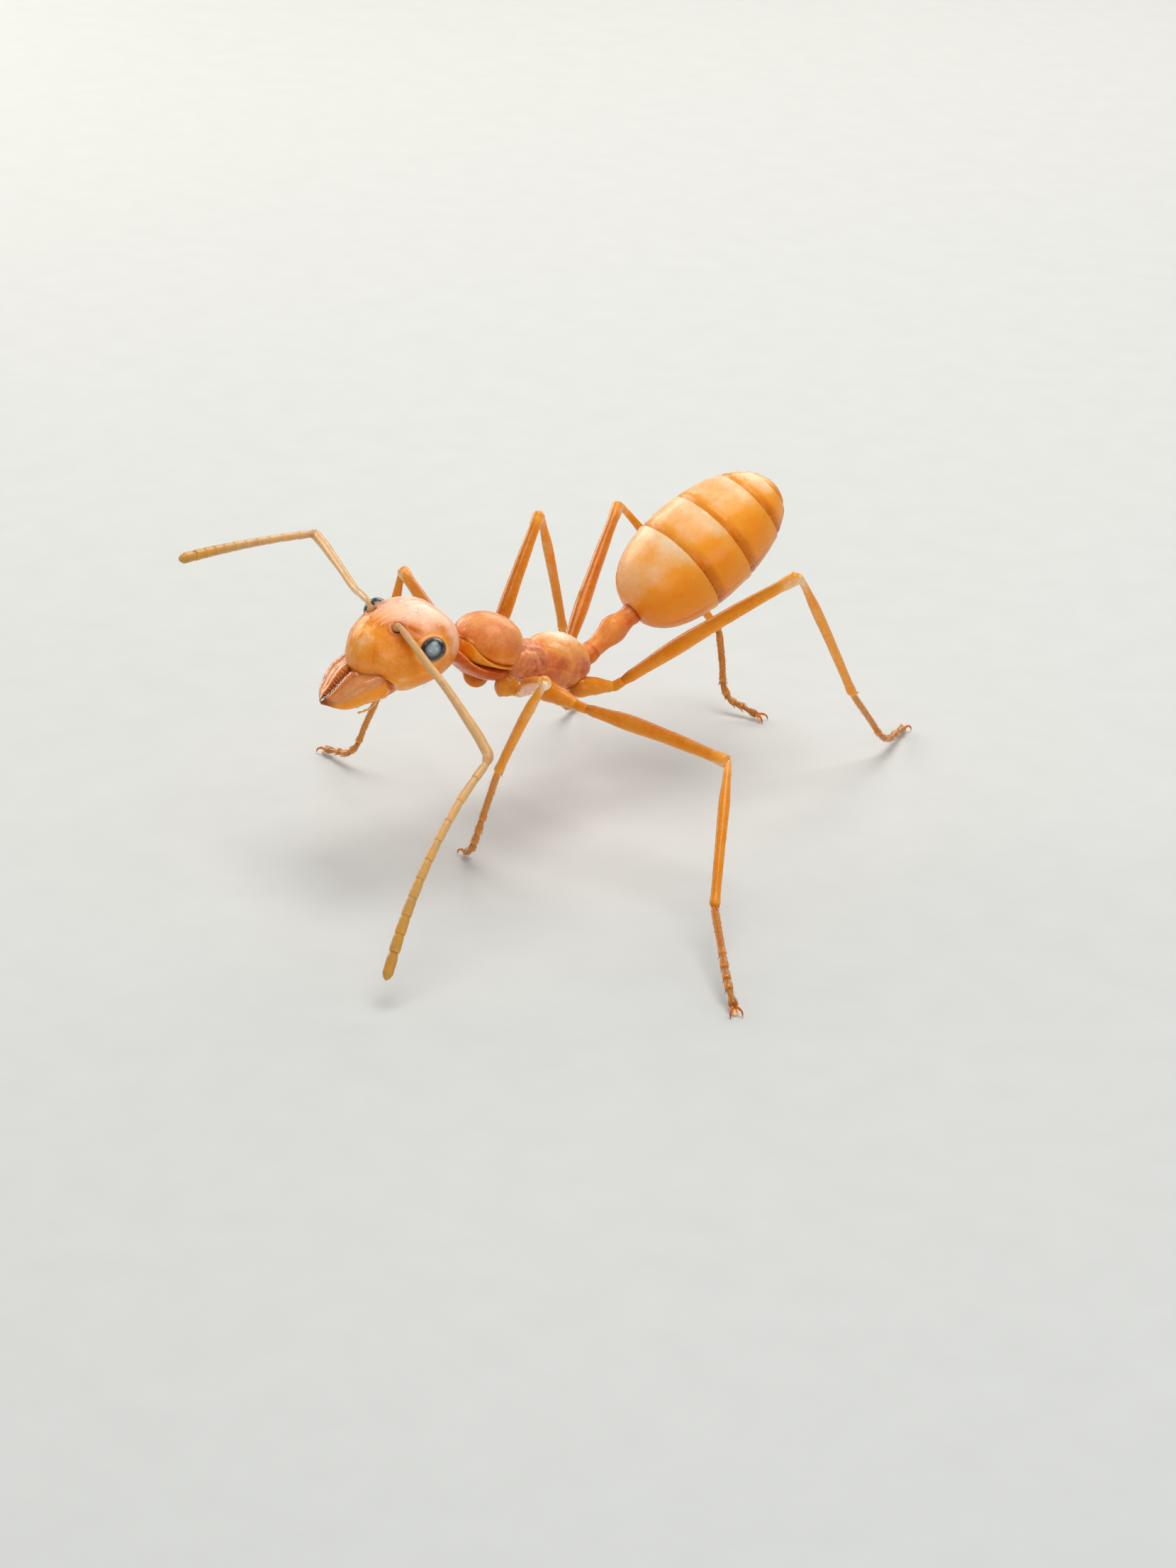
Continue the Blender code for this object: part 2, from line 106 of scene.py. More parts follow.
# ---------------------------------------------------------------- what the user can set
def length_setting(name, description, millimetres):
    return FloatProperty(name=name, description=description, default=millimetres * MM,
                         min=0.0, precision=6, unit="LENGTH")


def share_setting(name, description, value):
    return FloatProperty(name=name, description=description, default=value, min=0.0, max=1.0)


def colour_setting(name, description, hex_colour):
    return FloatVectorProperty(name=name, description=description, default=linear(hex_colour),
                               size=3, min=0.0, max=1.0, subtype="COLOR")


def number_setting(name, description, value):
    return IntProperty(name=name, description=description, default=value, min=0)


class HeadSettings(bpy.types.PropertyGroup):
    clypeus: length_setting("Clypeus", "How far the shield over the mouth is raised", 0.034)
    carina: length_setting("Frontal ridges", "Height of the ridges beside the feelers", 0.032)
    socket_rim: length_setting("Socket rim", "Height of the ring around a feeler's socket", 0.020)
    teeth: number_setting("Teeth", "Teeth on each mandible", 11)
    face: colour_setting("Face", "Cuticle of the face", "#ea8420")
    # The crown colour, cream pink, stands for painted sheen; the head's blush mixes it in on the crown and
    # the back of the head
    crown: colour_setting("Crown", "Cuticle of the top of the head", "#f6d6c0")
    jaw: colour_setting("Jaw", "Cuticle of the mandibles", "#f09010")
    eye: colour_setting("Eye", "Pigment behind the eye's lenses", "#0e1014")


class LimbSettings(bpy.types.PropertyGroup):
    femur: length_setting("Femur", "Radius of the femur where it is thickest", 0.122)
    tibia: length_setting("Tibia", "Radius of the tibia where it is thickest", 0.088)
    tarsus: length_setting("Tarsus", "Radius of the first foot segment", 0.058)
    scape: length_setting("Scape", "Radius of the feeler's first segment", 0.064)
    club: length_setting("Feeler tip", "Radius of the feeler near its tip", 0.086)
    claw: length_setting("Claw", "Reach of a claw", 0.165)
    leg: colour_setting("Leg", "Cuticle of the legs", "#e8890c")
    feeler: colour_setting("Feeler", "Cuticle of the feelers", "#dcb482")


class BodySettings(bpy.types.PropertyGroup):
    wrinkle: length_setting("Wrinkles", "Depth of the wrinkles of the rear trunk", 0.022)
    rim: length_setting("Rim", "Thickness of the rim of the trunk shield", 0.011)
    lip: length_setting("Plate edge", "Thickness of the gaster's plates at their rear edges", 0.022)
    trunk: colour_setting("Trunk", "Cuticle of the trunk", "#d4641e")
    gaster: colour_setting("Gaster", "Cuticle of the gaster", "#f0901c")
    membrane: colour_setting("Membrane", "Soft skin between the plates", "#f2b040")


class CoatSettings(bpy.types.PropertyGroup):
    down: length_setting("Down", "Length of the fine hairs that lie on the cuticle", 0.055)
    bristle: length_setting("Bristles", "Length of the standing bristles", 0.15)
    thickness: length_setting("Hair thickness", "Radius of a hair at its root", 0.0030)
    lean: share_setting("Lean", "How flat the down lies", 0.86)
    hair: colour_setting("Hair", "Colour of the hairs", "#f0c480")


class StageSettings(bpy.types.PropertyGroup):
    floor: colour_setting("Floor", "Colour of the floor", "#ced2d3")
    key: FloatProperty(name="Key light", description="Power of the large overhead light",
                       default=0.037, min=0.0, unit="POWER", precision=4)
    distance: length_setting("Camera distance", "From the camera to the point it looks at", 60.0)


class AntSettings(bpy.types.PropertyGroup):
    head: PointerProperty(type=HeadSettings)
    limbs: PointerProperty(type=LimbSettings)
    body: PointerProperty(type=BodySettings)
    coat: PointerProperty(type=CoatSettings)
    stage: PointerProperty(type=StageSettings)


# ---------------------------------------------------------------- numbers and curves
def mix(a, b, t):
    return a + (b - a) * t


def smooth_step(low, high, value):
    t = np.clip((value - low) / (high - low), 0.0, 1.0)
    return t * t * (3.0 - 2.0 * t)


def rounding(t, power):
    """Half-width of a unit superellipse at t, from -1 to 1."""
    return np.maximum(1.0 - np.abs(t) ** power, 0.0) ** (1.0 / power)


def ridge(distance, width):
    """1 on a line or at a point, fading to 0 at about twice the width."""
    return np.exp(-((distance / width) ** 2))


def stations(low, high, count):
    """Places from low to high, closer together at both ends."""
    return mix(low, high, 0.5 - 0.5 * np.cos(np.linspace(0.0, math.pi, count)))


def profile(shares, *knots):
    """A smooth outline through (share, radius) knots."""
    places, sizes = np.array(knots).T
    part = np.clip(np.searchsorted(places, shares, side="right") - 1, 0, len(places) - 2)
    return mix(sizes[part], sizes[part + 1], smooth_step(places[part], places[part + 1], shares))


def line_distance(points, line):
    """Distance of each point from a line of straight runs, in as many directions as the line has."""
    line = np.array(line, float)
    nearest = np.full(points.shape[:-1], np.inf)
    for start, end in zip(line, line[1:]):
        run = end - start
        share = np.clip(((points - start) @ run) / (run @ run), 0.0, 1.0)
        nearest = np.minimum(nearest, np.linalg.norm(points - start - share[..., None] * run, axis=-1))
    return nearest


def unit(vector):
    vector = np.asarray(vector, float)
    return vector / np.maximum(np.linalg.norm(vector, axis=-1, keepdims=True), 1e-12)


def smooth_path(points, count):
    """Even steps along a smooth curve through the points."""
    points = np.array(points, float)
    places = np.concatenate(([0.0], np.cumsum(np.linalg.norm(np.diff(points, axis=0), axis=1))))
    slopes = np.gradient(points, places, axis=0)
    fine = np.linspace(0.0, places[-1], 40 * len(points))
    part = np.clip(np.searchsorted(places, fine, side="right") - 1, 0, len(places) - 2)
    span = (places[part + 1] - places[part])[:, None]
    t = ((fine - places[part]) / span[:, 0])[:, None]
    curve = ((2 * t**3 - 3 * t**2 + 1) * points[part] + (t**3 - 2 * t**2 + t) * span * slopes[part]
             + (3 * t**2 - 2 * t**3) * points[part + 1] + (t**3 - t**2) * span * slopes[part + 1])
    run = np.concatenate(([0.0], np.cumsum(np.linalg.norm(np.diff(curve, axis=0), axis=1))))
    even = np.linspace(0.0, run[-1], count)
    return np.stack([np.interp(even, run, curve[:, i]) for i in range(3)], axis=1)


def along_path(path, shares):
    """Points at shares of the length of a path with even steps."""
    steps = np.linspace(0.0, 1.0, len(path))
    return np.stack([np.interp(shares, steps, path[:, i]) for i in range(3)], axis=-1)


# ---------------------------------------------------------------- rings and shells
def loft(x, half_width, top, bottom, power=2.2, columns=96, shift=0.0, under=None):
    """Superelliptic rings across the body at x, the lower half with a power of its own."""
    angle = np.linspace(0.0, TAU, columns, endpoint=False)
    c, s = np.cos(angle), np.sin(angle)
    powers = np.where(s >= 0.0, power, under or power)
    reach = (np.abs(c) ** powers + np.abs(s) ** powers) ** (-1.0 / powers)
    rows = [np.broadcast_to(np.asarray(value, float), x.shape)[:, None]
            for value in (half_width, top, bottom, shift)]
    middle, height = 0.5 * (rows[1] + rows[2]), 0.5 * (rows[1] - rows[2])
    y = rows[3] + rows[0] * reach * c
    z = middle + height * reach * s
    return np.stack([np.broadcast_to(x[:, None], y.shape), y, z], axis=-1)


def sweep(path, radii, columns=24, flat=1.0):
    """Rings of the given radii along a path, flattened from above."""
    tangents = unit(np.gradient(path, axis=0))
    up = np.array((0.0, 0.0, 1.0))
    ups = []
    for tangent in tangents:
        up = unit(up - tangent * (up @ tangent))
        ups.append(up)
    ups = np.array(ups)
    sideways = np.cross(ups, tangents)
    angle = np.linspace(0.0, TAU, columns, endpoint=False)
    ring = (sideways[:, None] * np.cos(angle)[None, :, None]
            + ups[:, None] * (flat * np.sin(angle))[None, :, None])
    return path[:, None] + ring * np.broadcast_to(radii, (len(path),))[:, None, None]


def normals_of(grid):
    """Outward directions of a row of rings."""
    along = np.gradient(grid, axis=0)
    around = np.roll(grid, -1, axis=1) - np.roll(grid, 1, axis=1)
    return unit(np.cross(around, along))


def pushed(grid, out):
    """Rings moved outwards, by a length of its own at every point."""
    return grid + normals_of(grid) * out[..., None]


def wrinkles(grid, size, octaves=3):
    """Even, repeatable unevenness between about -1 and 1, in lumps of the given size."""
    flat = grid.reshape(-1, 3) / size
    values = [noise.fractal(Vector(p), 0.9, 2.1, octaves) for p in flat]
    return np.array(values).reshape(grid.shape[:-1])


class Piece:
    """A piece in the making: closed shells, with a tone and a blush at every point.

    Tone runs from 0, burnt dark, through 0.5, the cuticle's own colour, to 1, pale and thin; painted
    highlights and painted shade are given in tone as well.
    Blush mixes in the material's second colour.
    """

    def __init__(self):
        self.points, self.faces, self.finishes = [], [], []
        self.tones, self.blushes, self.skins = [], [], []
        self.count = 0

    def add(self, points, faces, tone=0.5, blush=0.0, finish=0, place=None):
        """Add a closed mesh, with one tone and blush or one for every point."""
        if place is not None:
            points = points @ place[:3, :3].T + place[:3, 3]
        self.points.append(points)
        self.faces += [tuple(corner + self.count for corner in face) for face in faces]
        self.finishes += [finish] * len(faces)
        self.tones.append(np.broadcast_to(tone, (len(points),)))
        self.blushes.append(np.broadcast_to(blush, (len(points),)))
        self.count += len(points)
        return points

    def shell(self, grid, tone=0.5, blush=0.0, finish=0, place=None, downy=0.0):
        """Add rings, closed at both ends; downy says how thickly each place is haired."""
        rows, columns = grid.shape[:2]
        points = np.concatenate([grid.reshape(-1, 3), [grid[0].mean(0), grid[-1].mean(0)]])
        index = np.arange(rows * columns).reshape(rows, columns)
        after = np.roll(index, -1, axis=1)
        quads = np.stack([index[:-1], after[:-1], after[1:], index[1:]], axis=-1).reshape(-1, 4)
        first, last = rows * columns, rows * columns + 1
        faces = quads.tolist()
        faces += [(first, b, a) for a, b in zip(index[0].tolist(), after[0].tolist())]
        faces += [(last, a, b) for a, b in zip(index[-1].tolist(), after[-1].tolist())]
        looks = []
        for value in (tone, blush):
            value = np.broadcast_to(value, (rows, columns))
            looks.append(np.concatenate([value.ravel(), [value[0].mean(), value[-1].mean()]]))
        points = self.add(points, faces, *looks, finish, place)
        if np.any(np.asarray(downy) > 0.0):
            self.skins.append((points[:-2].reshape(grid.shape), np.broadcast_to(downy, (rows, columns))))

    def limb(self, points, size, knots, steps=40, columns=20, blunt=14.0, flat=1.0, tone=0.5, blush=0.0,
             painted_glow=0.0, **looks):
        """Add a round-ended rod along a smooth curve.

        Its radius, in shares of its size, and its tone are given by knots along its length.  Painted glow
        pales its underside, and painted shade blushes its upper side.
        """
        shares = stations(0.0, 1.0, steps)
        path = along_path(smooth_path(points, 12 * len(points)), shares)
        radii = size * profile(shares, *knots) * np.maximum(rounding(1.998 * shares - 0.999, blunt), 0.05)
        if np.ndim(tone):
            tone = profile(shares, *tone)[:, None]
        height = np.sin(np.linspace(0.0, TAU, columns, endpoint=False))[None]
        tone = np.clip(np.broadcast_to(tone - painted_glow * height, (steps, columns)), 0.02, 1.0)
        blush = np.broadcast_to(blush + 3.0 * painted_glow * np.clip(height, 0.0, 1.0), (steps, columns))
        self.shell(sweep(path, radii, columns, flat), tone, np.clip(blush, 0.0, 1.0), **looks)

    def spine(self, root, tip, radius, bend=0.0, **looks):
        """Add a thin spine, its middle moved by a bend."""
        self.limb([root, 0.5 * (root + tip) + bend, tip], radius, ((0.0, 1.0), (0.4, 0.8), (1.0, 0.12)), 8, 6,
                  **looks)

    def make(self, name, materials, slot, *replaced, sharp=None):
        """Turn it into an object that rides on the frame and stands for frame nodes."""
        mesh = bpy.data.meshes.new(name)
        mesh.from_pydata(np.concatenate(self.points) * MM, [], self.faces)
        for material in materials:
            mesh.materials.append(material)
        mesh.polygons.foreach_set("material_index", self.finishes)
        for label, values in (("tone", self.tones), ("blush", self.blushes)):
            layer = mesh.attributes.new(label, "FLOAT", "POINT")
            layer.data.foreach_set("value", np.concatenate(values).astype(np.float32))
        mesh.shade_smooth()
        if sharp is not None:
            mesh.set_sharp_from_angle(angle=math.radians(sharp))
        SKINS[name] = self.skins
        join_ant(name, mesh, slot, *replaced)


def join_ant(name, mesh, slot, *replaced):
    """Make an object of a mesh, and let it ride on the frame in place of frame nodes."""
    piece = bpy.data.objects.new(name, mesh)
    bpy.context.scene.collection.objects.link(piece)
    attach(piece, "root")
    if replaced:
        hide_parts(*replaced)


# ---------------------------------------------------------------- materials
def plug(node, inputs):
    """Link each input that is given as a socket, and set the others to their values."""
    for name, value in dict(inputs).items():
        if isinstance(value, bpy.types.NodeSocket):
            node.id_data.links.new(value, node.inputs[name])
        else:
            node.inputs[name].default_value = value


def add_node(tree, kind, output, inputs=(), stops=(), **settings):
    """Add a node with its settings, inputs and colour ramp stops, and give one of its outputs."""
    node = tree.nodes.new("ShaderNode" + kind)
    for name, value in settings.items():
        setattr(node, name, value)
    for number, (place, colour) in enumerate(stops):
        elements = node.color_ramp.elements
        element = elements[number] if number < 2 else elements.new(place)
        element.position = place
        element.color = (*colour, 1.0)
    plug(node, inputs)
    return node.outputs[output]


def new_material(name):
    """A material with its node tree, its shader, and the place that its patterns are laid by."""
    material = bpy.data.materials.new(name)
    material.use_nodes = True
    tree = material.node_tree
    return material, tree, tree.nodes["Principled BSDF"], add_node(tree, "TexCoord", "Object")


def per_metre(millimetres):
    """The texture scale at which a pattern repeats at about a length."""
    return 1.0 / (millimetres * MM)


def toned(colour, tint, share):
    return tuple(mix(c, t, share) for c, t in zip(colour, tint))


def scaled(colour, factors):
    return tuple(c * f for c, f in zip(colour, factors))


SPECK_SHARE = 0.35              # how much the small specks of pigment count beside the clouds


def shades(colour):
    """A cuticle from burnt dark through its own colour to golden where thin, and cream at the end, where
    painted highlights reach.
    """
    return ((0.0, scaled(colour, (0.12, 0.05, 0.04))), (0.25, scaled(colour, (0.58, 0.38, 0.28))),
            (0.5, colour), (0.72, toned(colour, linear("#ffb648"), 0.50)),
            (1.0, toned(colour, linear("#fff0d2"), 0.88)))


def pigment(tree, place, colour, second, mottle):
    """A cuticle's colours, and the cloudiness that they share with its gloss.

    Cloudy patches of 0.3 mm and specks of 0.05 mm turn its tone as much darker as paler.
    """
    tone = add_node(tree, "Attribute", "Fac", attribute_name="tone")
    blush = add_node(tree, "Attribute", "Fac", attribute_name="blush")
    cloud = add_node(tree, "TexNoise", "Fac", {"Vector": place, "Scale": per_metre(0.30), "Detail": 5.0,
                                               "Roughness": 0.62})
    speck = add_node(tree, "TexNoise", "Fac", {"Vector": place, "Scale": per_metre(0.05), "Detail": 3.0})
    uneven = add_node(tree, "Math", 0, {0: speck, 1: SPECK_SHARE, 2: cloud}, operation="MULTIPLY_ADD")
    centred = add_node(tree, "Math", 0, {0: uneven, 1: 0.5 + 0.5 * SPECK_SHARE}, operation="SUBTRACT")
    shade = add_node(tree, "Math", 0, {0: centred, 1: 2.0 * mottle, 2: tone}, operation="MULTIPLY_ADD")
    own = add_node(tree, "ValToRGB", "Color", {"Fac": shade}, shades(colour))
    other = add_node(tree, "ValToRGB", "Color", {"Fac": shade}, shades(second))
    share = add_node(tree, "Math", 0, {0: centred, 1: 0.8, 2: blush}, operation="MULTIPLY_ADD",
                     use_clamp=True)
    return add_node(tree, "Mix", 2, {0: share, 6: own, 7: other}, data_type="RGBA"), cloud


def cell_net(tree, place, cell, depth, lump):
    """The relief of a cuticle: a net of cells with fine grain on broad, low lumps.

    The cells are a little coarser than life, where they are too fine to be seen.
    """
    net = add_node(tree, "TexVoronoi", "Distance", {"Vector": place, "Scale": per_metre(cell)},
                   feature="SMOOTH_F1")
    grain = add_node(tree, "TexNoise", "Fac", {"Vector": place, "Scale": per_metre(0.4 * cell),
                                               "Detail": 2.0})
    height = add_node(tree, "Math", 0, {0: net, 1: -1.0, 2: grain}, operation="MULTIPLY_ADD")
    fine = add_node(tree, "Bump", "Normal", {"Height": height, "Distance": depth * MM, "Strength": 1.0})
    broad = add_node(tree, "TexNoise", "Fac", {"Vector": place, "Scale": per_metre(0.12), "Detail": 3.0})
    return add_node(tree, "Bump", "Normal", {"Height": broad, "Distance": (0.006 + lump) * MM,
                                             "Strength": 1.0, "Normal": fine})


def cuticle(name, colour, second, cell=0.035, depth=0.0016, lump=0.0, mottle=0.22, see_through=0.35,
            roughness=0.34, coat=0.35, glow_depth=0.14):
    """Hardened chitin of an ant: smooth, waxy and amber, darker where it is thick; its tone also carries
    painted highlights and painted shade.

    A net of fine cells dulls its gloss, light glows through its thin places, and a thin wax layer
    gives clear small highlights over the broad soft ones.  Lengths are in millimetres.
    """
    material, tree, shader, place = new_material(name)
    paint, cloud = pigment(tree, place, colour, second, mottle)
    relief = cell_net(tree, place, cell, depth, lump)
    dull = add_node(tree, "MapRange", 0, {"Value": cloud, "From Min": 0.3, "From Max": 0.7,
                                          "To Min": roughness - 0.06, "To Max": roughness + 0.08})
    plug(shader, {"Base Color": paint, "Normal": relief, "Roughness": dull, "IOR": 1.50,
                  "Specular IOR Level": 0.40, "Specular Tint": (*linear("#ffa858"), 1.0),
                  "Subsurface Weight": see_through, "Subsurface Scale": glow_depth * MM,
                  "Subsurface Radius": (1.0, 0.52, 0.20), "Coat Weight": coat, "Coat Roughness": 0.12,
                  "Coat IOR": 1.42})
    return material


def eye_lenses(name, dark):
    """Clear lenses over black pigment: glossy and near black, with a cool grey painted reflection where the
    blush is.
    """
    material, tree, shader, place = new_material(name)
    blush = add_node(tree, "Attribute", "Fac", attribute_name="blush")
    # the grey end of the ramp is the painted reflection
    paint = add_node(tree, "ValToRGB", "Color", {"Fac": blush}, ((0.0, dark), (1.0, linear("#a4b4b8"))))
    lens = add_node(tree, "TexVoronoi", "Distance", {"Vector": place, "Scale": per_metre(0.018)})
    bump = add_node(tree, "Bump", "Normal", {"Height": lens, "Distance": -0.0022 * MM, "Strength": 1.0})
    plug(shader, {"Base Color": paint, "Normal": bump, "Roughness": 0.34, "IOR": 1.55,
                  "Specular Tint": (*linear("#cfe0ea"), 1.0), "Coat Weight": 0.7, "Coat Roughness": 0.10})
    return material


def bristle_stuff(name, hair):
    """Setae: solid chitin bristles, pale gold, with a soft shine along them."""
    material, tree, shader, place = new_material(name)
    cloud = add_node(tree, "TexNoise", "Fac", {"Vector": place, "Scale": per_metre(0.5), "Detail": 2.0})
    paint = add_node(tree, "ValToRGB", "Color", {"Fac": cloud},
                     ((0.3, scaled(hair, (0.72, 0.60, 0.48))), (0.7, hair)))
    plug(shader, {"Base Color": paint, "Roughness": 0.50, "IOR": 1.45, "Specular IOR Level": 0.30,
                  "Subsurface Weight": 0.2, "Subsurface Scale": 0.02 * MM})
    return material


def finish_of(name):
    """One of the ant's materials, made when it is first asked for."""
    ready = bpy.data.materials.get(name)
    if ready is not None:
        return ready
    ant = bpy.context.scene.ant
    head, limbs, body = ant.head, ant.limbs, ant.body
    if name == "compound_eye_cornea":
        return eye_lenses(name, tuple(head.eye))
    if name == "golden_setae":
        return bristle_stuff(name, tuple(ant.coat.hair))
    own, second, looks = {
        # Waxed and finely netted: orange face, and a cream crown that is painted sheen
        "waxy_head_cuticle": (head.face, head.crown, dict(cell=0.030, depth=0.0012)),
        # Tanned hard, so it lets less light in and shines more
        "tanned_jaw_cuticle": (head.jaw, linear("#cc8458"), dict(
            cell=0.05, roughness=0.26, coat=0.7, see_through=0.25)),
        # Coarsely wrinkled, which breaks its highlights up; its pink second colour is partly the middle
        # trunk's own pinkish brown and partly painted sheen on the upper parts
        "wrinkled_trunk_cuticle": (body.trunk, linear("#dc9472"), dict(
            cell=0.045, depth=0.003, lump=0.004, coat=0.25)),
        # Thin and even, with a silky rather than a glassy shine; its deeper orange second colour marks the
        # plates' tucked fronts and, as painted shade, their undersides
        "downy_gaster_cuticle": (body.gaster, linear("#dd7c08"), dict(
            cell=0.028, roughness=0.38, mottle=0.12)),
        # Thin tubes: polished, with a shallow glow; the brown second colour is painted shade on the upper
        # sides and darkens the feet towards their tips
        "amber_leg_cuticle": (limbs.leg, linear("#a4703c"), dict(
            cell=0.026, roughness=0.26, coat=0.4, glow_depth=0.05)),
        # Thinner still and paler, with the finest net, so its shine is soft
        "tan_feeler_cuticle": (limbs.feeler, linear("#c08c30"), dict(cell=0.02, glow_depth=0.05)),
        # Soft and moist, so it is the glossiest
        "soft_joint_membrane": (body.membrane, linear("#ea8c10"), dict(
            cell=0.02, roughness=0.24, coat=0.6, see_through=0.15, glow_depth=0.02)),
    }[name]
    return cuticle(name, tuple(own), tuple(second), **looks)


# ---------------------------------------------------------------- landmarks of the frame
def vertices(node):
    """Every corner of a frame node's mesh, in metres."""
    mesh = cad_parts[node].data
    flat = np.empty(3 * len(mesh.vertices), np.float32)
    mesh.vertices.foreach_get("co", flat)
    return flat.reshape(-1, 3)


def corners(node):
    """The corners of a frame node in millimetres, each once."""
    return np.unique(np.round(vertices(node).astype(float) / MM, 4), axis=0)


def slice_centre(node, point, normal):
    """Centre of the outline that a plane cuts from a frame node."""
    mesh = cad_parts[node].data
    index = np.empty(len(mesh.loops), np.int32)
    mesh.loops.foreach_get("vertex_index", index)
    triangles = vertices(node)[index.reshape(-1, 3)] / MM
    height = (triangles - point) @ normal
    places, crossing = [], []
    for i, j in ((0, 1), (1, 2), (2, 0)):
        cut = height[:, i] * height[:, j] < 0.0
        share = np.where(cut, height[:, i] / np.where(cut, height[:, i] - height[:, j], 1.0), 0.0)
        places.append(mix(triangles[:, i], triangles[:, j], share[:, None]) * cut[:, None])
        crossing.append(cut)
    whole = sum(c.astype(int) for c in crossing) == 2
    middle = 0.5 * sum(places)
    length = np.sqrt(sum(((p - middle) ** 2).sum(1) * c for p, c in zip(places, crossing))) * whole
    return (middle * length[:, None]).sum(0) / length.sum()


def rough_joint(first, second, facing_within=FACING):
    """Where two frame nodes face each other."""
    a, b = corners(first), corners(second)
    close = np.linalg.norm(a[:, None] - b[None], axis=2) < facing_within
    return 0.5 * (a[close.any(1)].mean(0) + b[close.any(0)].mean(0))


def axis_between(node, start, end, shares=(0.4, 0.6)):
    """Points on the axis of a limb segment that runs roughly from start to end."""
    return [slice_centre(node, mix(start, end, share), end - start) for share in shares]


def meeting(first, second):
    """The point halfway between two lines where they pass closest."""
    p, q = first[0], second[0]
    u, v = unit(first[1] - first[0]), unit(second[1] - second[0])
    across = u @ v
    share = ((q - p) @ u - ((q - p) @ v) * across) / (1.0 - across ** 2)
    other = (((q - p) @ u) * across - (q - p) @ v) / (1.0 - across ** 2)
    return 0.5 * (p + share * u + q + other * v)


def end_ring(node, direction):
    """Centre of the end ring of a body part that lies farthest in a direction."""
    points = corners(node)
    order = np.argsort(points @ direction)
    return points[order[-BODY_SIDES:]].mean(0)


def turned_to(forward):
    """Rotation whose +X points forward, with +Y level."""
    left = Vector((0.0, 0.0, 1.0)).cross(forward).normalized()
    return Matrix((forward, left, forward.cross(left))).transposed()


def direction(azimuth, elevation):
    """A direction from its azimuth, counted from +X towards +Y, and its elevation, in degrees."""
    a, e = math.radians(azimuth), math.radians(elevation)
    return Vector((math.cos(a) * math.cos(e), math.sin(a) * math.cos(e), math.sin(e)))


def facing(azimuth, elevation, roll):
    """Rotation to a forward direction given in degrees."""
    return np.array(turned_to(direction(azimuth, elevation)) @ Matrix.Rotation(math.radians(roll), 3, "X"))


def placed(rotation, origin):
    place = np.eye(4)
    place[:3, :3] = rotation
    place[:3, 3] = origin
    return place


def head_place():
    """The head's frame, set by the middle between its eyes."""
    rotation = facing(*HEAD_AIM)
    middle = 0.5 * (corners("eye_left").mean(0) + corners("eye_right").mean(0))
    return placed(rotation, middle - rotation @ np.array((EYE_PLACE[0], 0.0, EYE_PLACE[2])))


def trunk_place():
    """The trunk's frame, set by the rear end and the crown of its middle part."""
    rotation = facing(*TRUNK_AIM)
    own = corners("mesothorax") @ rotation
    low, high = own.min(0), own.max(0)
    origin = (low[0] - MESOTHORAX_BACK, 0.5 * (low[1] + high[1]), high[2] - MESOTHORAX_CROWN)
    return placed(rotation, rotation @ np.array(origin))


def place_along(start, end):
    """A frame whose +X runs from one point to another."""
    return placed(np.array(turned_to(Vector(end - start).normalized())), start)


def moved(place, point):
    """A point of one of the frames, in the ant's."""
    return place[:3, :3] @ np.array(point, float) + place[:3, 3]


HEAD = head_place()
TRUNK = trunk_place()


def leg_joints(word):
    """Hip, trochanter, knee, ankle, heel and toe of a leg, from the frame's solids."""
    place, side = word.split("_")
    x, y, z = HIPS[place]
    hip = moved(TRUNK, (x, y * SIDES[side], z))
    nodes = [part + "_" + word for part in LEG_PARTS]
    rough = [hip] + [rough_joint(a, b) for a, b in zip(nodes, nodes[1:])]
    lines = [axis_between(node, a, b) for node, a, b in zip(nodes[1:], rough[1:], rough[2:])]
    points = corners(nodes[3])
    sole = points[points[:, 2] < SOLE_WITHIN].mean(0)
    heel = mix(rough[3], sole, 0.7)
    for _ in range(4):
        foot = axis_between(nodes[3], rough[3], heel, (0.35, 0.6))
        share = (HEEL_HEIGHT - foot[0][2]) / (foot[1][2] - foot[0][2])
        heel = mix(foot[0], foot[1], share)
    return rough[:2] + [meeting(a, b) for a, b in zip(lines, lines[1:] + [foot])] + [heel, sole]


WHIP_SHARES = (0.2, 0.35, 0.5, 0.65, 0.8, 0.97)    # where a whip's axis is read from the frame
WHIP_BOW = 0.13                                     # how far forward the middle of a whip bends


def feeler_joints(word):
    """Points on the axis of a feeler's scape, from its socket to the elbow, and of its whip."""
    socket = moved(HEAD, (SOCKET[0], SOCKET[1] * SIDES[word], SOCKET_HEIGHT))
    rough = rough_joint("scape_" + word, "flagellum_" + word, 0.5 * FACING)
    points = corners("flagellum_" + word)
    far = points[np.argmax(np.linalg.norm(points - rough, axis=1))]
    far = far - unit(far - rough) * FRAME_LIMB
    stem = axis_between("scape_" + word, socket, rough, (0.3, 0.5, 0.7))
    whip = axis_between("flagellum_" + word, rough, far, WHIP_SHARES)
    reach = whip[-1] + unit(whip[-1] - whip[-2]) * 0.03 * np.linalg.norm(far - rough)
    return [socket] + stem + [rough], [rough] + whip + [reach]


# ---------------------------------------------------------------- head
CARINA = ((0.18, 0.17), (0.02, 0.22), (-0.20, 0.25), (-0.36, 0.22))     # beside a feeler, seen from above
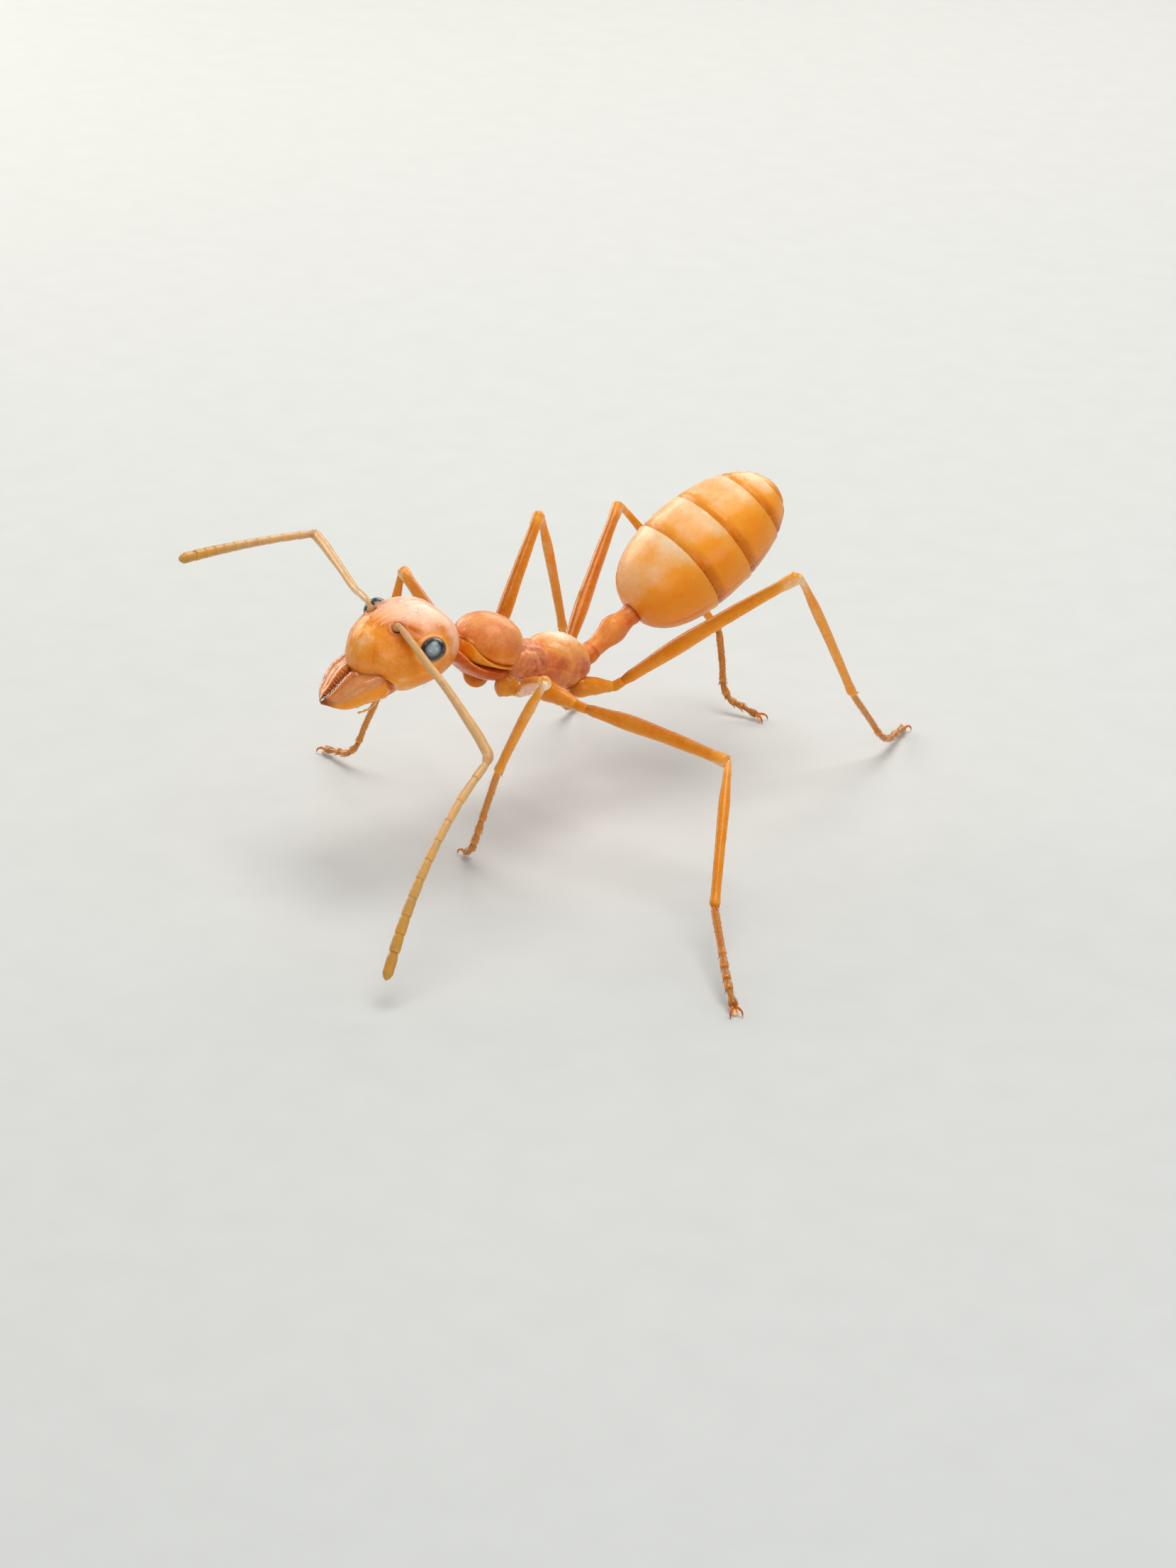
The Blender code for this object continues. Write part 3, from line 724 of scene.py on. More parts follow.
# The lip over the mouth from its front end to the rear, seen from the side
LIP = ((0.77, 0.02), (0.66, 0.01), (0.50, -0.05), (0.41, -0.16), (0.38, -0.32), (0.46, -0.46))
MOUTH_CORNER = (0.56, 0.42, -0.12)
TOOTHED = (0.42, 0.93)          # the part of a mandible's inner edge that has teeth
PALPS = (                       # root, radius and the steps from joint to joint
    ((0.60, 0.19, -0.42), 0.026, ((0.04, 0.05, -0.06), (0.09, 0.02, -0.05), (0.10, -0.01, -0.02),
                                  (0.09, -0.02, 0.00), (0.08, -0.02, 0.01))),
    ((0.66, 0.07, -0.42), 0.022, ((0.04, 0.02, -0.06), (0.08, 0.01, -0.04), (0.09, 0.00, -0.01),
                                  (0.08, 0.00, 0.01))),
)


def eye_axes(side):
    """An eye's own frame in the head's: along the head, across it, and outwards."""
    out = unit((EYE_OUT[0], side * EYE_OUT[1], EYE_OUT[2]))
    along = unit(np.array((1.0, 0.0, 0.0)) - out * out[0])
    return np.stack([along, np.cross(out, along), out], axis=1)


def head_capsule(rows=220, columns=200):
    """The bare outline of the head."""
    x = stations(-0.9995 * HEAD_HALF, 0.9995 * HEAD_HALF, rows)
    share = x / HEAD_HALF
    front = smooth_step(0.20, 1.0, share)
    width = HEAD_HALF_WIDTH * (1.0 - 0.44 * smooth_step(-0.35, 1.0, share)) * rounding(share, 2.5)
    top = HEAD_TOP * rounding(share, 2.2) * (1.0 - 0.10 * front)
    bottom = -HEAD_BOTTOM * rounding(share, 2.4) * (1.0 - 0.80 * front)
    return loft(np.minimum(x, mix(FACE_START, x, FACE_KEPT)), width, top, bottom, 2.2, columns)


def head_marks(grid):
    """Where every point lies for the marks of the head: shares from 0 to 1, and distances."""
    x, y, z = np.moveaxis(grid, -1, 0)
    side = np.abs(y)
    mirrored = np.stack([x, side, z], axis=-1)
    local = (mirrored - EYE_PLACE) @ eye_axes(1)
    rings = np.hypot(local[..., 0] / EYE_AXES[0], local[..., 1] / EYE_AXES[1])
    shield = np.hypot((x - 0.66) / 0.36, y / 0.37)
    jaw_side = smooth_step(0.10, 0.16, side)
    return SimpleNamespace(
        x=x, y=y, z=z, side=side, shield=shield, jaw_side=jaw_side,
        over=smooth_step(-0.02, 0.14, z),
        under=smooth_step(0.02, -0.12, z),
        suture=ridge(shield - 1.0, 0.05),
        carina=line_distance(np.stack([x, side], axis=-1), CARINA),
        socket=np.hypot(x - SOCKET[0], side - SOCKET[1]),
        frontal_line=ridge(y, 0.011) * smooth_step(0.30, 0.18, x) * smooth_step(-0.80, -0.60, x),
        eye=np.where(local[..., 2] > -0.2, rings, 9.0),
        pit=np.linalg.norm(mirrored - MOUTH_CORNER, axis=-1),
        lip=jaw_side * ridge(line_distance(np.stack([x, z], axis=-1), LIP), 0.020),
        groove=line_distance(np.stack([x - 0.045, z + 0.01], axis=-1), LIP))


def head_relief(mark, settings):
    """How far out the marks push the surface of the head."""
    x, y, over, under = mark.x, mark.y, mark.over, mark.under
    out = over * settings.clypeus / MM * (1.0 - smooth_step(0.30, 1.05, mark.shield))
    out -= over * 0.004 * mark.suture
    out += over * 0.005 * ridge(y, 0.03) * smooth_step(1.0, 0.6, mark.shield)
    out += over * settings.carina / MM * ridge(mark.carina, 0.024)
    out -= over * 0.020 * ridge(np.hypot((x - 0.30) / 0.08, y / 0.10), 1.0)
    out -= over * 0.009 * mark.frontal_line
    out += over * settings.socket_rim / MM * ridge(mark.socket - 0.115, 0.026)
    out -= over * 0.055 * smooth_step(0.100, 0.050, mark.socket)
    scrobe = line_distance(np.stack([x, mark.side], axis=-1), ((-0.04, 0.44), (-0.16, 0.62)))
    out -= over * 0.016 * ridge(scrobe, 0.06)
    out += 0.012 * ridge(mark.eye - 1.08, 0.09) - 0.007 * ridge(mark.eye - 1.30, 0.10)
    out -= 0.030 * smooth_step(0.98, 0.80, mark.eye)
    out -= 0.035 * ridge(mark.pit, 0.09)
    out += 0.020 * mark.lip
    out -= 0.016 * mark.jaw_side * ridge(mark.groove, 0.018)
    out -= under * 0.012 * ridge(y, 0.016) * smooth_step(0.30, 0.20, x)
    out -= under * 0.050 * ridge(np.hypot((x - 0.52) / 0.24, y / 0.22), 1.0)
    return out


def head_tones(mark, grid):
    """Tones and blushes of the head: pale round the eyes, red behind the sockets, and painted light: painted
    highlights between the feelers, on the brow and down the middle of the face, a painted glow underneath, a
    painted shadow line under the lip, and painted sheen as the blush on the crown and the back of the head.
    """
    x, y, z, side, over = mark.x, mark.y, mark.z, mark.side, mark.over
    tone = 0.50 + 0.10 * smooth_step(0.30, 0.60, side) * smooth_step(-0.2, 0.3, x)
    # painted highlights: on top between the feelers, and on the face beside the clypeus
    tone += 0.10 * over * ridge(np.hypot((x + 0.10) / 0.34, y / 0.20), 1.0)
    tone += 0.10 * over * ridge(np.hypot((x - 0.46) / 0.30, (side - 0.26) / 0.14), 1.0)
    tone += 0.24 * ridge(mark.eye - 1.30, 0.22)
    # painted highlight down the middle of the face
    tone += 0.24 * over * ridge(y, 0.26) * smooth_step(0.16, 0.36, x) * smooth_step(0.86, 0.62, x)
    tone -= 0.10 * ridge(mark.socket - 0.115, 0.03) + 0.25 * smooth_step(0.09, 0.06, mark.socket) * over
    tone -= over * (0.04 * mark.suture + 0.08 * mark.frontal_line + 0.05 * ridge(mark.carina, 0.02))
    # painted shadow line in the groove under the lip; darker in the mouth's corners
    tone -= 0.40 * ridge(mark.groove, 0.026) * mark.jaw_side + 0.34 * ridge(mark.pit, 0.07)
    tone += 0.14 * mark.lip
    # painted glow on the underside; darker at the very back
    tone += 0.10 * mark.under - 0.10 * ridge(x + 0.93, 0.03)
    tone += 0.05 * wrinkles(grid, 0.30, 3)
    # the blush is painted sheen: cream pink on the crown and the back of the head
    top = smooth_step(0.20, 0.52, z)
    blush = top * smooth_step(0.30, -0.25, x) * 0.95 * smooth_step(-0.95, -0.60, x)
    blush *= 1.0 - 0.45 * smooth_step(0.42, 0.60, side)
    blush = np.maximum(blush, 0.62 * smooth_step(-0.30, 0.05, z) * smooth_step(-0.45, -0.70, x))
    red = over * ridge(np.hypot((x + 0.05) / 0.24, (side - 0.50) / 0.17), 1.0)
    return np.clip(tone - 0.16 * red, 0.02, 1.0), np.clip(blush * (1.0 - red), 0.0, 1.0)


def sculpted_head(settings):
    """The head's rings with its face worked out, and their tones and blushes."""
    grid = head_capsule()
    mark = head_marks(grid)
    grid = pushed(grid, head_relief(mark, settings) + 0.004 * wrinkles(grid, 0.16, 2))
    grid[..., 0] += 0.050 * ridge(mark.y, 0.30) * smooth_step(-0.70, -0.95, mark.x)
    return grid, *head_tones(mark, grid)


def mandible_outline(side, teeth, rows):
    """Along a mandible: both its edges and sides, the cut of its teeth, its taper and its hook."""
    t = np.linspace(0.0, 1.0, rows)
    x = mix(0.40, 1.455, t)
    tuck = smooth_step(0.0, 0.22, t)
    outer = mix(0.585, 0.078, 1.0 - (1.0 - t**2.2) ** 0.8) * mix(0.72, 1.0, tuck)
    edge = mix(0.30, 0.022, smooth_step(0.0, 0.36, t))
    above = mix(0.12, -0.13, smooth_step(0.40, 1.0, t)) - 0.16 * (1.0 - tuck)
    below = mix(-0.43, -0.22, 0.45 * t + 0.55 * smooth_step(0.70, 1.0, t)) + 0.12 * (1.0 - tuck)
    above, below = (height - 0.012 * side * smooth_step(0.3, 0.9, t) for height in (above, below))
    first, last = TOOTHED
    run = (t - first) / (last - first) * teeth + (0.5 if side < 0 else 0.0)
    saw = 1.0 - np.abs(2.0 * (run % 1.0) - 1.0)
    reach = 0.034 * mix(0.7, 1.2, t) * (0.78 + 0.22 * np.cos(np.pi * np.floor(run)))
    bite = saw**0.8 * reach * smooth_step(first - 0.01, first + 0.02, t) * smooth_step(last + 0.01, last, t)
    point = rounding(np.clip((t - 0.86) / 0.1401, 0.0, 1.0), 1.7)
    hook = 0.045 * smooth_step(0.84, 1.0, t)
    return [value[:, None] for value in (x, outer, edge, above, below, bite, point, hook, t)]


def mandible_rings(side, teeth, rows=190, columns=48):
    """A blade from the corner of the mouth to its tip, toothed on the inner edge."""
    x, outer, edge, above, below, bite, point, hook, t = mandible_outline(side, teeth, rows)
    angle = np.linspace(0.0, TAU, columns, endpoint=False)
    c, s = np.cos(angle)[None], np.sin(angle)[None]
    w = 0.5 * (np.sign(c) * np.abs(c) ** 0.85 + 1.0)
    centre = 0.5 * (outer + edge) - hook
    half = 0.5 * (outer - edge) * point
    y = centre + half * (2.0 * w - 1.0) - bite * smooth_step(0.30, 0.0, w) * point
    thick = 0.5 * (above - below)
    blade = mix(0.16, 1.0, np.clip(w, 0.0, 1.0) ** 0.7)
    middle = mix(above - 0.30 * thick, 0.5 * (above + below), smooth_step(0.0, 0.7, w))
    z = middle + thick * blade * mix(0.35, 1.0, point) * np.sign(s) * np.abs(s) ** 0.9
    upper = smooth_step(0.1, 0.5, s)
    crease = ridge(w - mix(0.42, 0.30, t), 0.05) * smooth_step(0.05, 0.2, t) * smooth_step(0.9, 0.7, t)
    z = z - upper * 0.016 * crease
    margin = 0.5 * (smooth_step(0.40, 0.10, w) + smooth_step(0.22, 0.04, w)) * smooth_step(0.20, 0.40, t)
    # dark margin and tip; the dark line in the crease is painted shadow
    tone = 0.55 - 0.46 * margin - 0.42 * smooth_step(0.84, 0.97, t) - 0.12 * upper * crease
    # painted glow on the lower side
    tone = tone + 0.16 * smooth_step(0.1, -0.5, s) * smooth_step(0.3, 0.6, w) * smooth_step(0.9, 0.6, t)
    # painted shade: darker at the root, where it goes in under the head, and on top under the clypeus
    tone = tone - 0.26 * smooth_step(0.14, 0.0, t) - 0.12 * upper * smooth_step(0.40, 0.15, t)
    blush = upper * smooth_step(0.10, 0.4, w) * 0.95
    grid = np.stack([np.broadcast_to(x, y.shape), y * side, z], axis=-1)
    looks = [np.clip(np.broadcast_to(v, y.shape), 0.02, 1.0) for v in (tone, blush)]
    if side < 0:
        return [rows[:, ::-1] for rows in (grid, *looks)]
    return [grid, *looks]


def icosphere(divisions):
    """Points and faces of a unit sphere of even triangles."""
    bm = bmesh.new()
    bmesh.ops.create_icosphere(bm, subdivisions=divisions, radius=1.0)
    points = np.array([vert.co[:] for vert in bm.verts])
    faces = [tuple(vert.index for vert in face.verts) for face in bm.faces]
    bm.free()
    return points, faces


class ANT_OT_head(bpy.types.Operator):
    """Make the head capsule with its clypeus, frontal ridges, feeler sockets and eye rims"""

    bl_idname = "ant.head"
    bl_label = "Head"

    def execute(self, context):
        grid, tone, blush = sculpted_head(context.scene.ant.head)
        piece = Piece()
        face = smooth_step(0.96, 0.90, np.abs(grid[..., 0]) / HEAD_HALF)
        piece.shell(grid, tone, blush, place=HEAD, downy=face)
        piece.make("head_capsule", [finish_of("waxy_head_cuticle")], "head", "head")
        return {"FINISHED"}


class ANT_OT_eyes(bpy.types.Operator):
    """Make both compound eyes, a dome of many small lenses each"""

    bl_idname = "ant.eyes"
    bl_label = "Eyes"

    def execute(self, context):
        points, faces = icosphere(6)
        centres = icosphere(5)[0]
        lenses = KDTree(len(centres))
        for number, centre in enumerate(centres):
            lenses.insert(centre, number)
        lenses.balance()
        away = np.array([lenses.find(point)[2] for point in points])
        bulge = 1.0 - 0.009 * smooth_step(0.0, 0.04, away)
        for word, side in SIDES.items():
            axes = eye_axes(side)
            shaped = (points * bulge[:, None] * EYE_AXES) @ axes.T
            shaped = shaped + (EYE_PLACE[0], side * EYE_PLACE[1], EYE_PLACE[2])
            # a grey-blue painted reflection, mixed in by the blush, in the middle of each eye's front
            painted_reflection = np.clip(points @ unit((0.25, -0.1 * side, 1.0)), 0.0, 1.0)
            piece = Piece()
            piece.add(shaped, faces, 0.5, smooth_step(0.72, 1.0, painted_reflection) * 0.8, place=HEAD)
            piece.make("eye_dome_" + word, [finish_of("compound_eye_cornea")], "eye", "eye_" + word)
        return {"FINISHED"}


class ANT_OT_jaws(bpy.types.Operator):
    """Make both toothed mandibles, the folded lower lip and the jointed palps"""

    bl_idname = "ant.jaws"
    bl_label = "Jaws and mouth"

    def execute(self, context):
        settings = context.scene.ant.head
        jaw = finish_of("tanned_jaw_cuticle")
        for word, side in SIDES.items():
            grid, tone, blush = mandible_rings(side, settings.teeth)
            piece = Piece()
            piece.shell(grid, tone, blush, place=HEAD, downy=0.35 * smooth_step(0.2, 0.5, tone))
            piece.make("mandible_blade_" + word, [jaw], "mandible", "mandible_" + word, sharp=55)
        piece = Piece()
        self.lower_lip(piece)
        piece.make("lower_lip_and_palps", [jaw, finish_of("tan_feeler_cuticle")], "mandible", "labium")
        return {"FINISHED"}

    def lower_lip(self, piece):
        """Add the lip's middle, its side lobes and the four palps."""
        x = stations(0.06, 0.70, 40)
        t = 0.998 * (2.0 * (x - 0.06) / 0.64 - 1.0)
        piece.shell(loft(x, 0.115 * rounding(t, 2.8), -0.30, mix(-0.30, -0.60, rounding(t, 2.2)), 2.4, 40),
                    0.42, place=HEAD)
        for side in SIDES.values():
            piece.shell(loft(x, 0.075 * rounding(t, 2.4), -0.30, mix(-0.30, -0.56, rounding(t, 2.2)), 2.4, 32,
                             shift=side * 0.165), 0.55, 0.2, place=HEAD)
            for root, radius, steps in PALPS:
                joints = np.cumsum((root, *steps), axis=0) * (1.0, side, 1.0)
                for number, ends in enumerate(zip(joints, joints[1:])):
                    start, end = (moved(HEAD, joint) for joint in ends)
                    piece.limb([start, mix(start, end, 0.5), end], radius * 0.92**number,
                               ((0.0, 0.62), (0.75, 1.0), (1.0, 0.8)), 14, 10, blunt=6.0, tone=0.7, finish=1)


# ---------------------------------------------------------------- feelers
# Lengths of a whip's segments, as shares of its length
FUNICLE = (0.085, 0.125, 0.10, 0.095, 0.09, 0.085, 0.08, 0.078, 0.075, 0.075, 0.112)
# Radii of a scape's ball and neck, with their places as shares of its length
BALL_AND_NECK = ((0.0, 0.062), (0.016, 0.060), (0.034, 0.036), (0.055, 0.042))


class ANT_OT_feelers(bpy.types.Operator):
    """Make both feelers: ball joint, scape, and a whip of eleven segments"""

    bl_idname = "ant.feelers"
    bl_label = "Feelers"

    def execute(self, context):
        settings = context.scene.ant.limbs
        tan = finish_of("tan_feeler_cuticle")
        for word in SIDES:
            stem, whip = feeler_joints(word)
            piece = Piece()
            scape, club = settings.scape / MM, settings.club / MM
            up = HEAD[:3, 2]
            base = stem[0] + 0.075 * up
            bent = stem[-1] + 0.16 * unit(whip[1] - whip[0])
            inside = mix(stem[-1], mix(stem[-1] - 0.2 * unit(stem[-1] - stem[-2]), bent, 0.5), 0.4)
            curve = [base, base + 0.10 * up + 0.04 * unit(stem[1] - base),
                     mix(base, stem[1], 0.45) + 0.10 * up, *stem[1:-1], mix(stem[-2], stem[-1], 0.72), inside,
                     bent]
            ball = [(share, radius / scape) for share, radius in BALL_AND_NECK]
            rod = ((0.12, 0.85), (0.5, 1.0), (0.86, 1.25), (0.96, 1.30), (1.0, 0.9))
            piece.limb(curve, scape, (*ball, *rod), 120, 24, blunt=30.0, painted_glow=0.06, downy=1.0,
                       tone=((0.0, 0.40), (0.03, 0.42), (0.07, 0.52), (0.9, 0.54), (1.0, 0.50)))
            piece.make("feeler_scape_" + word, [tan], "antenna", "scape_" + word)
            piece = Piece()
            whip[0] = mix(inside, bent, 0.9)
            bow = WHIP_BOW * unit(HEAD[:3, 0] * (1.0, 1.0, 0.0))
            whip = [point + bow * math.sin(math.pi * share)
                    for point, share in zip(whip, (0.0, *WHIP_SHARES, 1.0))]
            self.whip(piece, smooth_path(whip, 400), scape, club)
            piece.make("feeler_whip_" + word, [tan], "antenna", "flagellum_" + word)
        return {"FINISHED"}

    def whip(self, piece, path, scape, club):
        """Add the eleven segments of a whip, thicker and darker towards the tip."""
        ends = np.concatenate(([0.0], np.cumsum(FUNICLE))) / sum(FUNICLE)
        for low, high in zip(ends, ends[1:]):
            size = mix(1.05 * scape, club, smooth_step(0.25, 1.0, 0.5 * (low + high)))
            points = along_path(path, np.linspace(max(low - 0.006, 0.0), high, 9))
            far, blunt, edge = ((0.80, 1.0), (0.95, 0.97), (1.0, 0.80)), 24.0, 0.62
            if high == ends[-1]:
                far, blunt, edge = ((0.75, 0.96), (0.9, 0.72), (1.0, 0.34)), 5.0, 0.54
            piece.limb(points, size, ((0.0, 0.76), (0.08, 0.84), (0.30, 0.95), *far), 40, 24, blunt,
                       tone=((0.0, 0.42), (0.12, 0.50), (0.8, 0.52), (1.0, edge)),
                       blush=mix(0.1, 0.9, smooth_step(0.2, 1.0, high)), downy=1.0)


# ---------------------------------------------------------------- trunk
def spiracle(grid, place, size):
    """How far out a breathing hole's rim and pit push the surface, on both sides."""
    mirrored = grid.copy()
    mirrored[..., 1] = np.abs(mirrored[..., 1])
    away = np.linalg.norm(mirrored - place, axis=-1)
    rim = 0.4 * size * ridge(away - size, 0.35 * size)
    return rim - 0.5 * size * smooth_step(0.8 * size, 0.4 * size, away)


class ANT_OT_trunk(bpy.types.Operator):
    """Make the trunk: neck shield, its side plates, wrinkled middle, humped rear and waist"""

    bl_idname = "ant.trunk"
    bl_label = "Trunk and waist"

    def execute(self, context):
        settings = context.scene.ant.body
        looks = [finish_of("wrinkled_trunk_cuticle"), finish_of("soft_joint_membrane")]
        for name in TRUNK_PLATES:
            piece = Piece()
            getattr(self, name)(piece, settings)
            piece.make(name + "_plate", looks, "thorax", name)
        return {"FINISHED"}

    def shield(self, x):
        """Half width and lower edge of the neck shield."""
        t = np.clip((x - 0.585) / 0.93, 0.0, 1.0)
        dome = rounding(2.0 * t**0.8 - 1.0, 2.0)
        return 0.575 * dome**0.8, mix(-0.14, 0.15, t**5), dome, t

    def brow(self, x):
        """Height of the ridge that ends the neck's side plate above."""
        return mix(-0.175, 0.01, smooth_step(1.32, 1.75, x))

    def pronotum(self, piece, settings):
        """Add the neck shield with its beaded rim, and the golden skin under its lower edge."""
        rim = settings.rim / MM
        x = stations(0.590, 1.510, 130)
        width, edge, dome, t = self.shield(x)
        width = np.maximum(width, mix(0.26, 0.05, smooth_step(0.3, 0.8, t)))
        crown = mix(0.18, 0.17, t) + 0.435 * dome
        grid = loft(x, width, crown, edge, 2.2, 120, under=3.6)
        y, z = grid[..., 1], grid[..., 2]
        hem = np.hypot(np.abs(y) - 0.97 * width[:, None], z - (edge + 0.022)[:, None])
        bead = np.clip(ridge(hem, 0.020) + 0.8 * ridge(grid[..., 0] - 0.625, 0.016), 0.0, 1.0)
        crest = smooth_step(0.05, 0.45, z)
        out = rim * bead + 0.004 * wrinkles(grid, 0.09, 3)
        # paler on the crest, and pink there by the blush: painted sheen
        tone = 0.56 + 0.12 * bead + 0.04 * wrinkles(grid, 0.25, 3) + 0.06 * crest
        tone += 0.12 * smooth_step(0.24, -0.04, z)
        tone += 0.26 * ridge(grid[..., 0] - 0.612, 0.022)
        piece.shell(pushed(grid, out), np.clip(tone, 0.05, 1.0), 0.70 * crest, place=TRUNK,
                    downy=smooth_step(0.0, 0.15, z))
        x = x[4:-4]
        width, edge, dome, t = self.shield(x)
        strip = loft(x, 0.85 * width, edge + 0.05, np.minimum(self.brow(x) - 0.01, edge - 0.03), 2.6, 80)
        gold = ridge((edge[:, None] - strip[..., 2]) / 0.03 - 0.4, 0.5)
        piece.shell(strip, 0.46 + 0.26 * gold, 0.9 - 0.9 * gold, 1, TRUNK)

    def propleuron(self, piece, settings):
        """Add the neck's side plates, which meet below, with their upper lips."""
        x = stations(0.74, 1.71, 110)
        t = (x - 0.74) / 0.98
        width = self.shield(x)[0]
        width = np.maximum(0.88 * width, mix(0.40, 0.19, t)) * rounding(
            np.clip(mix(-0.90, 0.99, t), -0.999, 0.999), 3.2) ** 0.6
        top = self.brow(x)
        bottom = mix(-0.415, -0.20, smooth_step(1.10, 1.75, x))
        grid = loft(x, width, top, bottom, 2.6, 100)
        fall = np.clip((top[:, None] - grid[..., 2]) / (top - bottom)[:, None], 0.0, 1.0)
        grid[..., 1] *= mix(1.0, 0.74, fall**1.6)
        y, z = grid[..., 1], grid[..., 2]
        hem = np.hypot(np.abs(y) - 0.95 * width[:, None], z - (top - 0.030)[:, None])
        lip = ridge(hem, 0.024)
        out = 0.022 * lip - 0.010 * ridge(fall - 0.30, 0.06) + 0.004 * wrinkles(grid, 0.1, 3)
        tone = 0.46 + 0.32 * lip + 0.04 * wrinkles(grid, 0.2, 3)
        piece.shell(pushed(grid, out), np.clip(tone, 0.05, 1.0), 0.6 * ridge(hem, 0.030), place=TRUNK,
                    downy=0.3)

    def mesothorax(self, piece, settings):
        """Add the narrow wrinkled middle of the trunk, with its seams and breathing holes."""
        x = stations(-0.17, 0.66, 120)
        t = np.clip((x + 0.17) / 0.83, 0.0, 1.0)
        full = rounding(0.99 * (2.0 * t - 1.0), 2.4)
        knob = ridge(x + 0.02, 0.07)
        top = mix(0.10, 0.235, full) + 0.045 * knob
        bottom = -0.46 + 0.10 * t
        grid = loft(x, 0.37 * mix(0.78, 1.0, full), top, bottom, 2.2, 120)
        x, z = grid[..., 0], grid[..., 2]
        over = smooth_step(-0.05, 0.10, z)
        seam = ridge(x - 0.20 - 0.35 * z - 0.03 * np.sin(14.0 * z), 0.020)
        seam = np.clip(seam + ridge(z + 0.02 - 0.20 * np.sin(5.0 * x), 0.018), 0.0, 1.0)
        folds = wrinkles(grid * (1.0, 1.3, 1.0), 0.14, 3) - 1.4 * np.abs(wrinkles(grid, 0.24, 2)) + 0.4
        out = settings.wrinkle / MM * folds - 0.010 * seam
        out = out + spiracle(grid, (0.40, 0.33, 0.08), 0.032)
        # paler on the folds and darker in their hollows: painted light and shade; the pink blush, stronger on
        # top, is partly painted sheen
        tone = 0.50 - 0.08 * seam + 0.10 * folds + 0.04 * over
        piece.shell(pushed(grid, out), np.clip(tone, 0.05, 1.0), 0.35 + 0.4 * over, place=TRUNK, downy=0.8)

    def propodeum(self, piece, settings):
        """Add the humped rear of the trunk, smooth on its crest, which carries a painted highlight."""
        x = stations(-1.195, -0.085, 120)
        reach = np.where(x > -0.60, 0.525, 0.60)
        hump = rounding((x + 0.60) / reach, 2.0)
        width = 0.45 * mix(0.5, 1.0, hump) * smooth_step(-1.25, -1.16, x) ** 0.3
        bottom = mix(-0.26, -0.49, smooth_step(-1.19, -0.75, x))
        grid = loft(x, width, 0.435 * hump, bottom, 2.2, 120)
        x, y, z = np.moveaxis(grid, -1, 0)
        folds = wrinkles(grid, 0.17, 3) - 1.2 * np.abs(wrinkles(grid, 0.27, 2)) + 0.3
        seam = ridge(z + 0.14 + 0.12 * x + 0.05 * np.sin(6.0 * x), 0.020) * smooth_step(0.10, 0.30, np.abs(y))
        out = spiracle(grid, (-0.84, 0.36, 0.12), 0.042) - 0.008 * seam
        out = out + 0.025 * ridge(np.hypot(x + 0.98, z + 0.20), 0.10)
        out = out + settings.wrinkle / MM * folds * mix(0.9, 0.2, smooth_step(0.0, 0.32, z))
        crest = smooth_step(0.0, 0.34, z)
        # painted highlight on the crest, palest at the top, with pink painted sheen as blush; paler on the
        # folds and darker in their hollows: painted light and shade
        tone = 0.52 - 0.08 * seam + 0.26 * crest + 0.20 * smooth_step(0.30, 0.42, z) + 0.08 * folds
        piece.shell(pushed(grid, out), np.clip(tone, 0.05, 1.0), 0.3 + 0.5 * crest, place=TRUNK, downy=0.9)

    def petiole(self, piece, settings):
        """Add the waist with its low node."""
        front, back = waist_ends()
        length = np.linalg.norm(back - front)
        x = stations(-0.10, length + 0.06, 90)
        t = x / length
        node = np.exp(-(((t - 0.58) / 0.20) ** 2))
        radius = 0.150 + 0.060 * node + 0.020 * ridge(t - 0.04, 0.10) + 0.02 * ridge(t - 0.96, 0.08)
        top = radius + 0.040 * node
        grid = loft(x, radius, top, -radius * 1.02, 2.1, 80)
        z = grid[..., 2]
        out = 0.005 * wrinkles(grid, 0.09, 3) + spiracle(grid, (0.30 * length, 0.15, 0.03), 0.026)
        # paler on top with a pink blush: painted sheen; darker at both ends
        tone = 0.60 + 0.10 * smooth_step(0.05, 0.25, z) - 0.22 * ridge(x[:, None] - 0.10, 0.03)
        tone = tone - 0.2 * ridge(x[:, None] - length + 0.03, 0.04)
        piece.shell(pushed(grid, out), tone, 0.45 * smooth_step(0.0, 0.2, z),
                    place=place_along(front, back), downy=0.8)


def waist_ends():
    """Front and back end of the waist's axis."""
    middle = corners("petiole").mean(0)
    way = unit(corners("gaster_1").mean(0) - middle)
    front = end_ring("petiole", -way)
    return front, gaster_ends()[0]


def gaster_ends():
    """Front and tip of the gaster's axis."""
    way = unit(corners("gaster_5").mean(0) - corners("gaster_1").mean(0))
    return end_ring("gaster_1", -way), end_ring("gaster_5", way)


